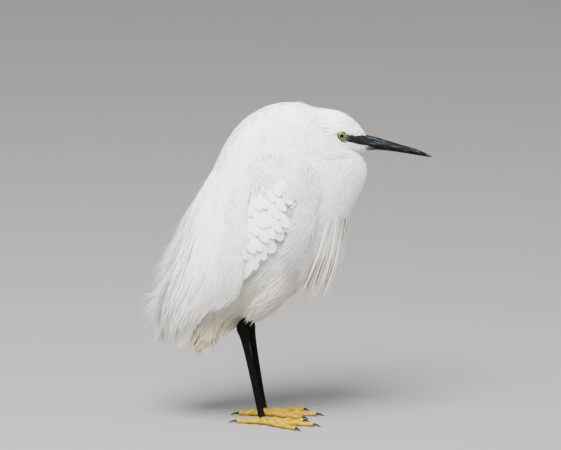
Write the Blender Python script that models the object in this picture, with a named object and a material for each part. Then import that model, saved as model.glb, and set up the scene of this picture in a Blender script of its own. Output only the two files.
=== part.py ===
"""A little egret standing hunched, its neck drawn in and its bill level, at life size.

The bird faces +X and stands on the plane z = 0. Sizes are in millimetres and become metres
where each mesh is made. Every part that a person would name is one closed solid of its own.
"""

import math
import random

import bmesh
import bpy
from mathutils import Matrix, Vector

MM = 0.001
GAP = 0.3                   # clearance between solids that touch
SOLVER = "MANIFOLD"
SEED = 7
VANE_THICKNESS = 0.7
# Half width along a feather, as shares of its widest, from root to just short of its tip.
BROAD = (0.7, 1.0, 0.96, 0.66)
LANCE = (0.7, 1.0, 0.85, 0.6, 0.3)
PLUME = (0.45, 0.85, 1.0, 1.0, 0.92, 0.62)

# Trunk and drawn-in neck from vent to nape: back point (x, z), front point (x, z), half width,
# and how much narrower the section is in front than behind.
TRUNK = (
    ((-64, 122), (-44, 113), 11, 0.0),
    ((-76, 150), (-20, 121), 28, 0.0),
    ((-81, 184), (16, 134), 42, 0.0),
    ((-75, 222), (52, 160), 50, 0.0),
    ((-60, 262), (79, 203), 52, 0.1),
    ((-44, 303), (100, 240), 47, 0.25),
    ((-22, 335), (115, 277), 38, 0.28),
    ((7, 353), (106, 302), 30, 0.15),
    ((33, 357), (82, 316), 23, 0.0),
    ((52, 352), (66, 336), 12, 0.0),
)
# Head from nape to bill base, by its crown point and its throat point.
HEAD = (
    ((22, 343), (22, 318), 10, 0.0),
    ((36, 351), (38, 303), 17, 0.0),
    ((55, 350.5), (58, 294), 19.5, 0.0),
    ((72, 350), (74, 296), 18.8, 0.0),
    ((86, 347.3), (88, 298.5), 16.5, 0.0),
    ((98, 340.6), (101, 299.5), 12.5, 0.0),
    ((107.8, 331), (111, 301.5), 9, 0.0),
    ((114, 322.5), (119.5, 303.8), 6.4, 0.0),
)
# The surface that the folded wings lie on, from their tips to the shoulder.
WRAP = (
    ((-100, 92), (-72, 78), 15, 0.0),
    ((-103, 125), (-48, 98), 28, 0.0),
    ((-98, 160), (-16, 118), 43, 0.0),
    ((-89, 195), (24, 138), 54, 0.0),
    ((-77, 232), (58, 170), 59, 0.0),
    ((-59, 268), (78, 210), 58, 0.0),
    ((-38, 302), (84, 250), 53, 0.1),
    ((-12, 328), (82, 285), 44, 0.1),
)

# The guide that the breast plumes hang along, from their tips up to their roots.
BIB = (
    ((-10, 164), (77, 148), 22, 0.0),
    ((-2, 198), (87, 182), 28, 0.0),
    ((10, 230), (91, 213), 32, 0.0),
    ((22, 258), (95, 241), 34, 0.0),
)

# The folded wing's core: first place, its run in places, rows, columns, fall of its rim, and the
# angles of its front and back edge at each place of the surface that it lies on.
WING_START = 1.5
WING_RUN = 4.9
WING_ROWS = 8
WING_COLUMNS = 7
WING_RIM_DROP = 3.2
WING_DEPTH = 13
WING_EDGES = ((78, 132), (79, 150), (82, 160), (79, 160), (75, 152), (69, 134), (71, 116), (78, 112))
# Rows of wing coverts from the shoulder down, each stepping back along the wing. The coverts
# point down and forward. A row has its first tip (place, angle), the step to the next tip,
# the way from a tip up to its root, how many there are, half width and height of the tips.
WING_COVERTS = (
    ((6.1, 81), (-0.26, 6), (0.55, 14), 3, 7.5, 1.8),
    ((5.4, 77), (-0.24, 5.6), (0.75, 19), 4, 8.0, 1.8),
    ((4.95, 75), (-0.27, 4.2), (0.85, 22), 5, 8.0, 2.2),
    ((4.86, 69), (-0.5, 2.4), (0.9, 20), 3, 10.5, 0.8),
)
COVERT_LIFTS = (-2.4, 0.3)
COVERT_ROLL = 0.7
SECONDARIES = 9
SECONDARY_LENGTH = 1.4
SECONDARY_LIFTS = (-2.8, -0.6)
# The back plumes lie over the wings like tiles, in a fan from the mantle. Angles are from the
# line of the back, and places are the tips' on the wings' surface.
BACK_PLUMES = 13
MANTLE = 6.5
PLUME_ROOT_SPREAD = 59
PLUME_TIP_SPREAD = 84
PLUME_LIFTS = (-5.0, 3.3, 3.4, 3.4, 3.4, 3.6)
PLUME_HALF_WIDTH = 9.5
TILE_ROLL = 0.9
LOOSE_PLUMES = 7
LOOSE_HALF_WIDTH = 5.2
LOOSE_SPREAD = 28
LOOSE_LIFTS = (-5.0, 5.4, 5.4, 5.6, 6.5, 11.0)
BREAST_PLUMES = 13
BREAST_HALF_WIDTH = 4.4
BREAST_LIFTS = (-5.5, 0.5, 1.8, 3.0)
BREAST_LOWER = 1.8          # how much lower every other breast plume lies
BREAST_ROOT_SPREAD = 64
BREAST_TIP_SPREAD = 88
# Under-tail locks: root (x, z), tip (x, z), and how far roots and tips spread in each row.
UNDER_TAIL_ROWS = (((-34, 131), (-55, 83), 15, 21), ((-22, 127), (-40, 101), 8, 11))
UNDER_TAIL_LOCKS = 5
UNDER_TAIL_OUT = (0.87, -0.48)
SOFT_LOCK = (4.8, 6.0, 5.4, 3.6)

# The tail's core by its centre (x, z), half width and half thickness, then its feathers.
TAIL_CORE = ((-37, 150, 12, 5), (-45, 134, 14, 4), (-53, 116, 15, 2.6), (-59, 104, 13, 1.2))
TAIL_FEATHERS = 12
TAIL_LENGTH = 56
TAIL_ROOT_SPREAD = 9
TAIL_TIP_SPREAD = 21
TAIL_VANE = (2.6, 4.2, 5.2, 4.4)

NECK_CUT = ((-80, 372), (-14, 345), (6, 306), (34, 274), (70, 254), (150, 244))

EYE_CENTRE = (86.8, 12.5, 323.8)
EYE_RADIUS = 5.6
LID_RADIUS = 4.7
LID_THICKNESS = 1.0

# The bill by distance along x: culmen, mouth line, lower edge and half width.
BILL = (
    (106, 322.5, 310.4, 303.0, 5.6),
    (114, 321.6, 310.0, 303.6, 6.2),
    (121, 320.2, 309.7, 304.4, 5.7),
    (128, 318.4, 309.2, 304.6, 5.0),
    (146, 312.7, 306.4, 302.6, 3.9),
    (164, 307.5, 302.9, 299.7, 3.0),
    (176, 303.0, 299.6, 297.7, 2.1),
    (183, 299.4, 297.5, 296.7, 1.2),
)
BILL_TIP = (186.5, 296.6)
MOUTH_CORNER = 104.5
# Sections of the bill's halves and of a toe, as (share of half width, share of height).
UPPER_SECTION = ((-0.92, 0), (0.92, 0), (1, 0.3), (0.8, 0.68), (0.36, 0.94), (0, 1), (-0.36, 0.94),
                 (-0.8, 0.68), (-1, 0.3))
LOWER_SECTION = ((-0.88, 0), (0.88, 0), (0.86, 0.4), (0.5, 0.86), (0, 1), (-0.5, 0.86), (-0.86, 0.4))
TOE_SECTION = ((-0.7, 0), (0.7, 0), (1, 0.35), (0.72, 0.82), (0, 1), (-0.72, 0.82), (-1, 0.35))
NOSTRIL_START = (122, 5.1, 315.6)
NOSTRIL_STEP = (2.2, 0, -0.6)

HEEL = {"right": (-22, -20, 110), "left": (-14, 20, 108)}
ANKLE = {"right": (-0.5, -20), "left": (1.5, 20)}
ANKLE_HEIGHT = 9.0
KNEE = {"right": (18, -24, 168), "left": (24, 24, 166)}
JOINT_RADIUS = 5.6
# The shin above the heel and the shank below it: share of each length, and radius.
SHIN = ((0.66, 3.8), (0.85, 4.2))
SHANK = ((0.0, JOINT_RADIUS), (0.06, 5.3), (0.14, 3.6), (0.3, 2.9), (0.6, 2.9), (0.85, 3.1), (1.0, 3.6))
FOOT = ((1.5, 4.6), (3, 5.6), (6, 5.2), (ANKLE_HEIGHT, 4.2))
# The feathered thigh from knee to heel: share of the length, and share of its radius.
THIGH_RADIUS = 19.5
THIGH = ((0.0, 0.55), (0.25, 0.95), (0.5, 1.0), (0.66, 0.78), (0.78, 0.5), (0.88, 0.27))
THIGH_LOCKS = 7
THIGH_LOCK_PATH = ((0.48, 0.86), (0.66, 0.84), (0.8, 0.56), (0.93, 0.36))
THIGH_LOCK = (5.6, 7.0, 4.9)

# Toes: name, turn from the foot's own heading (positive towards its outer side), length, claw.
TOES = (("middle", 0, 58, 9), ("outer", 27, 48, 8), ("inner", -20, 46, 8), ("hallux", 178, 27, 10))
HEADING = {"right": -12, "left": -2}
TOE_WIDTH = 6.4
TOE_HEIGHT = 5.0
TOE_STEPS = 7
CLAW_RADII = (1.5, 1.5, 1.2, 0.8, 0.35)
SIDE_SIGN = {"right": -1, "left": 1}

WHITE = (0.86, 0.87, 0.88)
CREAM = (0.72, 0.66, 0.55)
HORN = (0.02, 0.02, 0.025)
YELLOW = (0.62, 0.45, 0.05)
IRIS = (0.7, 0.6, 0.12)


def blend(points, place):
    """Catmull-Rom value at a fractional index of a list of tuples, straight on past its ends."""
    last = len(points) - 1
    if place < 0 or place > last:
        a, b = (0, 1) if place < 0 else (last - 1, last)
        share = place - a
        return [p + (q - p) * share for p, q in zip(points[a], points[b])]
    i = min(int(place), last - 1)
    t = place - i
    p0, p1 = points[max(i - 1, 0)], points[i]
    p2, p3 = points[i + 1], points[min(i + 2, last)]
    return [0.5 * (2 * b + (c - a) * t + (2 * a - 5 * b + 4 * c - d) * t ** 2
                   + (3 * b - a - 3 * c + d) * t ** 3)
            for a, b, c, d in zip(p0, p1, p2, p3)]


class Hull:
    """A body swept through egg-shaped sections, read by section number and angle.

    Angle 0 is the front (or lower) edge, 180 the back, and positive angles lie on +Y.
    """

    def __init__(self, sections):
        self.rows = [(bx, bz, fx, fz, width, lean)
                     for (bx, bz), (fx, fz), width, lean in sections]
        self.last = len(sections) - 1

    def skin(self, place, angle):
        """Point of the hull in millimetres."""
        bx, bz, fx, fz, width, lean = blend(self.rows, place)
        turn = math.radians(angle)
        across = width * math.sin(turn) * (1 - lean * math.cos(turn))
        share = (1 + math.cos(turn)) / 2
        return Vector((bx + (fx - bx) * share, across, bz + (fz - bz) * share))

    def normal(self, place, angle):
        """Outward direction at a point of the hull."""
        along = self.skin(place + 0.05, angle) - self.skin(place - 0.05, angle)
        around = self.skin(place, angle + 2) - self.skin(place, angle - 2)
        return around.cross(along).normalized()

    def point(self, place, angle, lift=0.0):
        """Point at a height above the hull."""
        return self.skin(place, angle) + self.normal(place, angle) * lift


def solid(name, points, faces):
    """Mesh object from points in millimetres, with its faces turned outwards."""
    mesh = bpy.data.meshes.new(name)
    mesh.from_pydata([Vector(p) * MM for p in points], [], faces)
    work = bmesh.new()
    work.from_mesh(mesh)
    bmesh.ops.recalc_face_normals(work, faces=work.faces)
    work.to_mesh(mesh)
    work.free()
    piece = bpy.data.objects.new(name, mesh)
    bpy.context.scene.collection.objects.link(piece)
    return piece


def skinned_rings(name, rings, first_pole=None, last_pole=None):
    """Closed solid through rings of equal count, each end a fan to a pole or a flat face."""
    count = len(rings[0])
    points = [p for ring in rings for p in ring]
    faces = []
    for r in range(len(rings) - 1):
        for i in range(count):
            j = (i + 1) % count
            a, b = r * count + i, r * count + j
            faces += [(a, b, b + count), (a, b + count, a + count)]
    for pole, base in ((first_pole, 0), (last_pole, (len(rings) - 1) * count)):
        if pole is None:
            faces.append(tuple(base + i for i in range(count)))
            continue
        points.append(pole)
        faces += [(base + i, base + (i + 1) % count, len(points) - 1) for i in range(count)]
    return solid(name, points, faces)


def hull_solid(name, hull, rings, sides, end_bulge):
    """Closed body of a whole hull, its ends rounded off by a bulge in millimetres."""
    rows = []
    for r in range(rings):
        place = hull.last * r / (rings - 1)
        rows.append([hull.skin(place, 360 * i / sides) for i in range(sides)])
    poles = []
    for row, inner in ((rows[0], rows[1]), (rows[-1], rows[-2])):
        centre = sum(row, Vector()) / sides
        out = (centre - sum(inner, Vector()) / sides).normalized()
        poles.append(centre + out * end_bulge)
    return skinned_rings(name, rows, *poles)


def tube(name, path, radii, sides, flatten=1.0):
    """Round limb along a path, closed by poles, its height a share of its width."""
    rings = []
    for i, centre in enumerate(path):
        ahead = path[min(i + 1, len(path) - 1)] - path[max(i - 1, 0)]
        ahead.normalize()
        side = ahead.cross(Vector((0, 0, 1))) if abs(ahead.z) < 0.8 else Vector((0, 1, 0))
        side = (side - ahead * side.dot(ahead)).normalized()
        up = side.cross(ahead)
        rings.append([centre + side * (radii[i] * math.cos(a)) + up * (radii[i] * flatten * math.sin(a))
                      for a in (math.tau * k / sides for k in range(sides))])
    first = path[0] + (path[0] - path[1]).normalized() * radii[0] * 0.5
    last = path[-1] + (path[-1] - path[-2]).normalized() * radii[-1] * 0.5
    return skinned_rings(name, rings, first, last)


def patch(name, hull, places, edges, top, depth, columns, rim_drop=0.0):
    """Thick sheet on a hull between two edge angles, split alike on both of its faces."""
    upper, lower = [], []
    for place in places:
        low, high = edges(place)
        for c in range(columns + 1):
            angle = low + (high - low) * c / columns
            inner = min(3 * min(c, columns - c) / columns, 1)
            lift = top(place) - rim_drop * (1 - inner) ** 2
            upper.append(hull.point(place, angle, lift))
            lower.append(hull.point(place, angle, lift - depth(place) * (0.4 + 0.6 * inner)))
    rows, wide, count = len(places), columns + 1, len(upper)
    faces = []
    for r in range(rows - 1):
        for c in range(columns):
            a = r * wide + c
            for tri in ((a, a + 1, a + wide + 1), (a, a + wide + 1, a + wide)):
                faces.append(tri)
                faces.append(tuple(count + i for i in reversed(tri)))
    rim = [c for c in range(wide)] + [r * wide + columns for r in range(1, rows)]
    rim += [(rows - 1) * wide + c for c in range(columns - 1, -1, -1)]
    rim += [r * wide for r in range(rows - 2, 0, -1)]
    for i, a in enumerate(rim):
        b = rim[(i + 1) % len(rim)]
        faces += [(a, count + a, count + b), (a, count + b, b)]
    return solid(name, upper + lower, faces)


def vane(name, spine, normals, half_widths, roll=0.0, thickness=VANE_THICKNESS):
    """One feather: a thin blade along its shaft to a point, split alike on both faces.

    Roll lifts one edge of the blade and lowers the other, so that neighbours lie like tiles.
    """
    rings = []
    for i in range(len(spine) - 1):
        ahead = (spine[i + 1] - spine[max(i - 1, 0)]).normalized()
        side = ahead.cross(normals[i]).normalized()
        up = side.cross(ahead)
        reach, half = side * half_widths[i], up * (thickness / 2)
        tilt = up * roll
        rings.append([spine[i] - reach - tilt - half, spine[i] + reach + tilt - half,
                      spine[i] + reach + tilt + half, spine[i] - reach - tilt + half])
    return skinned_rings(name, rings, None, spine[-1])


def laid_vane(hull, root, tip, lifts, half_width, roll=0.0, shape=BROAD, thickness=VANE_THICKNESS):
    """Feather that follows a hull from its root to its tip, each a (place, angle)."""
    spine, normals = [], []
    steps = len(shape)
    for i in range(steps + 1):
        share = i / steps
        place = root[0] + (tip[0] - root[0]) * share
        angle = root[1] + (tip[1] - root[1]) * share
        lift = blend([(v,) for v in lifts], share * (len(lifts) - 1))[0]
        spine.append(hull.point(place, angle, lift))
        normals.append(hull.normal(place, angle))
    return vane("vane", spine, normals, [half_width * w for w in shape], roll, thickness)


def evaluated(piece):
    """Replace a piece's mesh by what its modifiers make of it."""
    graph = bpy.context.evaluated_depsgraph_get()
    mesh = bpy.data.meshes.new_from_object(piece.evaluated_get(graph))
    piece.modifiers.clear()
    piece.data = mesh


def keep_largest(piece, wanted=None):
    """Keep one closed surface of a mesh: the largest, or the first by another ranking."""
    work = bmesh.new()
    work.from_mesh(piece.data)
    left = set(work.verts)
    shells = []
    while left:
        shell, edge = set(), [left.pop()]
        while edge:
            vert = edge.pop()
            shell.add(vert)
            for link in vert.link_edges:
                other = link.other_vert(vert)
                if other in left:
                    left.remove(other)
                    edge.append(other)
        shells.append(shell)
    best = max(shells, key=wanted or spread)
    bmesh.ops.delete(work, geom=[v for v in work.verts if v not in best], context="VERTS")
    bmesh.ops.triangulate(work, faces=work.faces)
    work.to_mesh(piece.data)
    work.free()


def spread(shell):
    """Size of a shell's bounding box diagonal."""
    low = [min(v.co[k] for v in shell) for k in range(3)]
    high = [max(v.co[k] for v in shell) for k in range(3)]
    return (Vector(high) - Vector(low)).length


def swollen(piece, amount=GAP):
    """Copy of a piece with each face moved outwards by an amount in millimetres."""
    copy = bpy.data.objects.new(piece.name + ".swollen", piece.data.copy())
    bpy.context.scene.collection.objects.link(copy)
    work = bmesh.new()
    work.from_mesh(copy.data)
    work.normal_update()
    moves = [(v, v.normal * min(v.calc_shell_factor(), 2.0) * amount * MM) for v in work.verts]
    for vert, move in moves:
        vert.co += move
    work.to_mesh(copy.data)
    work.free()
    return copy


def combine(piece, others, operation):
    """Boolean of a piece with a collection of others, which are then removed."""
    group = bpy.data.collections.new(piece.name + ".group")
    for other in others:
        group.objects.link(other)
    change = piece.modifiers.new(operation.lower(), "BOOLEAN")
    change.operation = operation
    change.operand_type = "COLLECTION"
    change.collection = group
    change.solver = SOLVER
    evaluated(piece)
    for other in others:
        bpy.data.objects.remove(other)
    bpy.data.collections.remove(group)
    keep_largest(piece)


def clear_of(piece, *neighbours):
    """Cut a piece back to the usual gap from its neighbours."""
    combine(piece, [swollen(n) for n in neighbours], "DIFFERENCE")


def wall(name, line, thickness, half_depth):
    """Thin upright wall along a line of (x, z) points, for parting a body."""
    rings = []
    for i, (x, z) in enumerate(line):
        before, after = line[max(i - 1, 0)], line[min(i + 1, len(line) - 1)]
        run = Vector((after[0] - before[0], 0, after[1] - before[1])).normalized()
        off = Vector((-run.z, 0, run.x)) * (thickness / 2)
        here, side = Vector((x, 0, z)), Vector((0, half_depth, 0))
        rings.append([here - side - off, here - side + off, here + side + off, here + side - off])
    return skinned_rings(name, rings)


def paint(piece, colour, roughness, metallic=0.0):
    """Give a piece its own plain material."""
    material = bpy.data.materials.new(piece.name)
    material.use_nodes = True
    shader = material.node_tree.nodes["Principled BSDF"]
    shader.inputs["Base Color"].default_value = (*colour, 1)
    shader.inputs["Roughness"].default_value = roughness
    shader.inputs["Metallic"].default_value = metallic
    piece.data.materials.clear()
    piece.data.materials.append(material)
    piece.data.shade_smooth()
    piece.data.set_sharp_from_angle(angle=math.radians(35))


def trunk_and_neck():
    """The trunk, and the drawn-in neck parted from it by a thin bent cut."""
    trunk = hull_solid("torso", Hull(TRUNK), 19, 24, 4)
    neck = bpy.data.objects.new("neck", trunk.data.copy())
    bpy.context.scene.collection.objects.link(neck)
    for piece, wanted in ((trunk, lowest), (neck, highest)):
        cutter = wall("neck_cut", NECK_CUT, GAP, 90)
        change = piece.modifiers.new("parting", "BOOLEAN")
        change.operation = "DIFFERENCE"
        change.object = cutter
        evaluated(piece)
        bpy.data.objects.remove(cutter)
        keep_largest(piece, wanted)
    return trunk, neck


def lowest(shell):
    """Rank shells by how low they reach."""
    return -min(v.co.z for v in shell)


def highest(shell):
    """Rank shells by how high they reach."""
    return max(v.co.z for v in shell)


def ring_round(name, centre, axis, radius, thickness, sides, around):
    """Small torus about an axis, for an eyelid."""
    across = axis.orthogonal().normalized()
    other = axis.cross(across)
    points, faces = [], []
    for i in range(around):
        turn = math.tau * i / around
        out = across * math.cos(turn) + other * math.sin(turn)
        for k in range(sides):
            bend = math.tau * k / sides
            points.append(centre + out * (radius + thickness * math.cos(bend))
                          + axis * (thickness * math.sin(bend)))
            a, b = i * sides + k, i * sides + (k + 1) % sides
            c, d = (b + sides) % (around * sides), (a + sides) % (around * sides)
            faces.append((a, b, c, d))
    return solid(name, points, faces)


def ball(name, centre, radius):
    """Eyeball as a plain sphere, in millimetres."""
    work = bmesh.new()
    bmesh.ops.create_uvsphere(work, u_segments=12, v_segments=8, radius=radius * MM)
    bmesh.ops.rotate(work, verts=work.verts, matrix=Matrix.Rotation(math.pi / 2, 3, "X"))
    bmesh.ops.translate(work, verts=work.verts, vec=Vector(centre) * MM)
    mesh = bpy.data.meshes.new(name)
    work.to_mesh(mesh)
    work.free()
    piece = bpy.data.objects.new(name, mesh)
    bpy.context.scene.collection.objects.link(piece)
    return piece


def head_and_eyes(head, neck):
    """Fit the head over the neck, add its eyelids, sockets and mouth line, and make both eyes."""
    x, y, z = EYE_CENTRE
    lids, eyes = [], []
    for side, sign in SIDE_SIGN.items():
        axis = Vector((0.12, sign, 0.05)).normalized()
        rim = Vector((x, sign * y, z)) + axis * math.sqrt(EYE_RADIUS ** 2 - LID_RADIUS ** 2)
        lids.append(ring_round("lid", rim, axis, LID_RADIUS, LID_THICKNESS, 5, 12))
        eyes.append(ball("eye_" + side, (x, sign * y, z), EYE_RADIUS))
    combine(head, lids, "UNION")
    clear_of(head, neck, *eyes)
    line = [(MOUTH_CORNER, mouth_height(MOUTH_CORNER)), (112, mouth_height(112)), (126, mouth_height(126))]
    combine(head, [wall("mouth", line, GAP, 20)], "DIFFERENCE")
    return eyes


def bill_row(x):
    """Culmen, mouth line, lower edge and half width of the bill at a distance along x."""
    for near, far in zip(BILL, BILL[1:]):
        if x <= far[0]:
            break
    share = (x - near[0]) / (far[0] - near[0])
    return [a + (b - a) * share for a, b in zip(near, far)][1:]


def mouth_height(x):
    """Height of the mouth line."""
    return bill_row(x)[1]


def bill(head):
    """Both halves of the bill, meeting along the mouth line, with a nostril slit on each side."""
    upper_rings, lower_rings = [], []
    for x, top, mouth, bottom, width in BILL:
        rise, drop = top - mouth - GAP / 2, mouth - bottom - GAP / 2
        upper_rings.append([Vector((x, width * a, mouth + GAP / 2 + rise * h)) for a, h in UPPER_SECTION])
        lower_rings.append([Vector((x, width * a, mouth - GAP / 2 - drop * h)) for a, h in LOWER_SECTION])
    x, z = BILL_TIP
    upper = skinned_rings("bill_upper", upper_rings, None, Vector((x, 0, z)))
    lower = skinned_rings("bill_lower", lower_rings, None, Vector((x - 2, 0, z + 0.1)))
    for piece in (upper, lower):
        clear_of(piece, head)
    slits = []
    for sign in SIDE_SIGN.values():
        start = Vector(NOSTRIL_START)
        start.y *= sign
        path = [start + Vector(NOSTRIL_STEP) * k for k in range(4)]
        slits.append(tube("nostril", path, (0.5, 0.9, 0.9, 0.5), 6))
    combine(upper, slits, "DIFFERENCE")
    return upper, lower


def wing_edges(sign):
    """Angles of the low and high edge of a folded wing at a place, for one side of the bird."""
    def edges(place):
        front, back = blend(WING_EDGES, place)
        return (front, back) if sign > 0 else (-back, -front)
    return edges


def wing_top(place):
    """Height of the wing's core, which dips at the shoulder and towards the tip."""
    return -6 * max(place - 5.6, 0) ** 2 - 1.2 * max(2.6 - place, 0)


def wing_depth(place):
    """Thickness of the wing's core."""
    return min(1.5 + 4 * max(place - 1, 0), WING_DEPTH)


def rim_drop_at(share):
    """How far the wing's core falls at a share of its width, more and more towards its rim."""
    inside = max(min(share, 1 - share), 0)
    return WING_RIM_DROP * (1 - min(3 * inside, 1)) ** 2


def wing(side, trunk, neck):
    """Folded wing: a thin core with its coverts and flight feathers in tiers out to the tip."""
    sign = SIDE_SIGN[side]
    hull = Hull(WRAP)

    def share_at(place, angle):
        front, back = blend(WING_EDGES, place)
        return (angle - front) / (back - front)

    def angle_at(place, share):
        front, back = blend(WING_EDGES, place)
        return front + (back - front) * share

    def feather(root, tip, lifts, half_width, roll):
        first, last = rim_drop_at(share_at(*root)), rim_drop_at(share_at(*tip))
        steps = [lift - first + (first - last) * i / (len(lifts) - 1) for i, lift in enumerate(lifts)]
        root, tip = (root[0], sign * root[1]), (tip[0], sign * tip[1])
        return laid_vane(hull, root, tip, steps, half_width, -sign * roll)

    places = [WING_START + WING_RUN * r / WING_ROWS for r in range(WING_ROWS + 1)]
    core = patch("wing_" + side, hull, places, wing_edges(sign), wing_top, wing_depth, WING_COLUMNS,
                 WING_RIM_DROP)
    vanes = []
    for first, step, way, count, half_width, rise in WING_COVERTS:
        for i in range(count):
            tip = (first[0] + step[0] * i, first[1] + step[1] * i)
            root = (tip[0] + way[0], tip[1] + way[1])
            vanes.append(feather(root, tip, (*COVERT_LIFTS, rise), half_width, COVERT_ROLL))
    for i in range(SECONDARIES):
        share = i / (SECONDARIES - 1)
        end = 3.4 * (1 - share) ** 1.1 - 0.1
        start = max(end + SECONDARY_LENGTH, 2.2)
        root = (start, angle_at(start, 0.14 + 0.5 * share))
        tip = (end, angle_at(end, 0.03 + 0.6 * share ** 5))
        vanes.append(feather(root, tip, (*SECONDARY_LIFTS, 0.2 - 0.5 * share), 9.5 - 2 * share, 0.8))
    combine(core, vanes, "UNION")
    clear_of(core, trunk, neck)
    return core


def side_of(share):
    """Sign of a share across the bird, 0 on its middle line."""
    return (share > 0) - (share < 0)


def across_bird(count):
    """Evenly spaced shares from -1 on the right to 1 on the left."""
    return [2 * i / (count - 1) - 1 for i in range(count)]


def back_plumes(rng):
    """Long plumes from the mantle over the wings, and the loose ones that fray at the back."""
    back = Hull(WRAP)
    locks = []
    for share in across_bird(BACK_PLUMES):
        root = (MANTLE - 0.3 * abs(share), 180 + PLUME_ROOT_SPREAD * share)
        end = 3.1 * abs(share) ** 1.5 - 0.1 + rng.uniform(-0.2, 0.2)
        lifts = (*PLUME_LIFTS, 12 - 8 * abs(share))
        locks.append(laid_vane(back, root, (end, 180 + PLUME_TIP_SPREAD * share), lifts,
                               PLUME_HALF_WIDTH, TILE_ROLL * side_of(share), PLUME))
    for i, share in enumerate(across_bird(LOOSE_PLUMES)):
        root = (MANTLE + 0.25, 180 + LOOSE_SPREAD * share)
        tip = (i % 3 + rng.uniform(-0.2, 0.1), 180 + LOOSE_SPREAD * share)
        lifts = (*LOOSE_LIFTS, rng.uniform(24, 31) - 10 * abs(share))
        locks.append(laid_vane(back, root, tip, lifts, LOOSE_HALF_WIDTH, 0.0, PLUME))
    return locks


def breast_plumes(rng):
    """Narrow plumes that hang from the lower neck over the breast."""
    front = Hull(BIB)
    locks = []
    for i, share in enumerate(across_bird(BREAST_PLUMES)):
        lower = i % 2
        root = (3.0 - 0.1 * lower, BREAST_ROOT_SPREAD * share)
        end = 1.7 - 1.9 * min(abs(share) * 1.3, 1) - 0.3 * lower + rng.uniform(-0.15, 0.15)
        lifts = [BREAST_LIFTS[0]] + [lift - BREAST_LOWER * lower for lift in BREAST_LIFTS[1:]]
        locks.append(laid_vane(front, root, (end, BREAST_TIP_SPREAD * share), lifts,
                               BREAST_HALF_WIDTH, 0.4 * side_of(share), LANCE))
    return locks


def under_tail():
    """Soft locks that hang behind the legs, in two rows."""
    locks = []
    for (root_x, root_z), (tip_x, tip_z), root_spread, tip_spread in UNDER_TAIL_ROWS:
        for i, share in enumerate(across_bird(UNDER_TAIL_LOCKS)):
            root = Vector((root_x, root_spread * share, root_z))
            tip = Vector((tip_x + 5 * abs(share), tip_spread * share, tip_z + 6 * abs(share) + 2 * (i % 2)))
            out = Vector((UNDER_TAIL_OUT[0], 0.25 * share, UNDER_TAIL_OUT[1])).normalized()
            spine = [root.lerp(tip, s) + out * (4 * math.sin(math.pi * s)) for s in (0, 0.3, 0.6, 0.85, 1)]
            locks.append(vane("vane", spine, [out] * 5, SOFT_LOCK, 0.3 * share))
    return locks


def tail(trunk):
    """Tail: twelve overlapping feathers on a small core at the vent."""
    path = [Vector((x, 0, z)) for x, z, half, thick in TAIL_CORE]
    ahead = (path[-1] - path[0]).normalized()
    up = ahead.cross(Vector((0, 1, 0)))
    rings = [[centre + Vector((0, half * math.cos(a), 0)) + up * (thick * math.sin(a))
              for a in (math.tau * k / 12 for k in range(12))]
             for centre, (x, z, half, thick) in zip(path, TAIL_CORE)]
    piece = skinned_rings("tail", rings)
    vanes = []
    for i, share in enumerate(across_bird(TAIL_FEATHERS)):
        root = path[1] + Vector((0, TAIL_ROOT_SPREAD * share, 0))
        tip = path[1] + ahead * (TAIL_LENGTH - 5 * share ** 2) + Vector((0, TAIL_TIP_SPREAD * share, 0))
        lift = up * (0.7 * (i % 2) - 3 * share ** 2)
        spine = [root.lerp(tip, s) + lift * s for s in (0, 0.3, 0.6, 0.85, 1)]
        vanes.append(vane("vane", spine, [up] * 5, TAIL_VANE, 0.5 * side_of(share)))
    combine(piece, vanes, "UNION")
    clear_of(piece, trunk)
    return piece


def leg(side, trunk, rng):
    """Thigh, shank and foot of one leg."""
    sign = SIDE_SIGN[side]
    heel, knee = Vector(HEEL[side]), Vector(KNEE[side])
    ankle = Vector((*ANKLE[side], ANKLE_HEIGHT))
    path = [knee.lerp(heel, s) for s, radius in SHIN] + [heel.lerp(ankle, s) for s, radius in SHANK]
    shank = tube("shank_" + side, path, [radius for s, radius in SHIN + SHANK], 10)
    thigh = tube("thigh_" + side, [knee.lerp(heel, s) for s, w in THIGH],
                 [THIGH_RADIUS * w for s, w in THIGH], 12)
    locks = []
    down = (heel - knee).normalized()
    across = down.orthogonal().normalized()
    for i in range(THIGH_LOCKS):
        turn = math.tau * i / THIGH_LOCKS
        out = across * math.cos(turn) + down.cross(across) * math.sin(turn)
        reach = rng.uniform(0.93, 1.06)
        spine = [knee.lerp(heel, s * reach) + out * (THIGH_RADIUS * w) for s, w in THIGH_LOCK_PATH]
        locks.append(vane("vane", spine, [out] * 4, THIGH_LOCK))
    combine(thigh, locks, "UNION")
    clear_of(shank, trunk)
    clear_of(thigh, trunk, shank)
    foot = tube("foot_" + side, [Vector((ankle.x, ankle.y, z)) for z, radius in FOOT],
                [radius for z, radius in FOOT], 12)
    flatten(foot)
    clear_of(shank, foot)
    toes = []
    for name, turn, length, claw in TOES:
        way = math.radians(HEADING[side] + sign * turn)
        ahead = Vector((math.cos(way), math.sin(way), 0))
        toes += toe(side, name, ankle, ahead, length, claw, [foot, *toes[::2]])
    return [thigh, shank, foot, *toes]


def flatten(piece):
    """Bring whatever hangs below the ground up to it, which leaves a small flat."""
    for vert in piece.data.vertices:
        vert.co.z = max(vert.co.z, 0)


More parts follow.
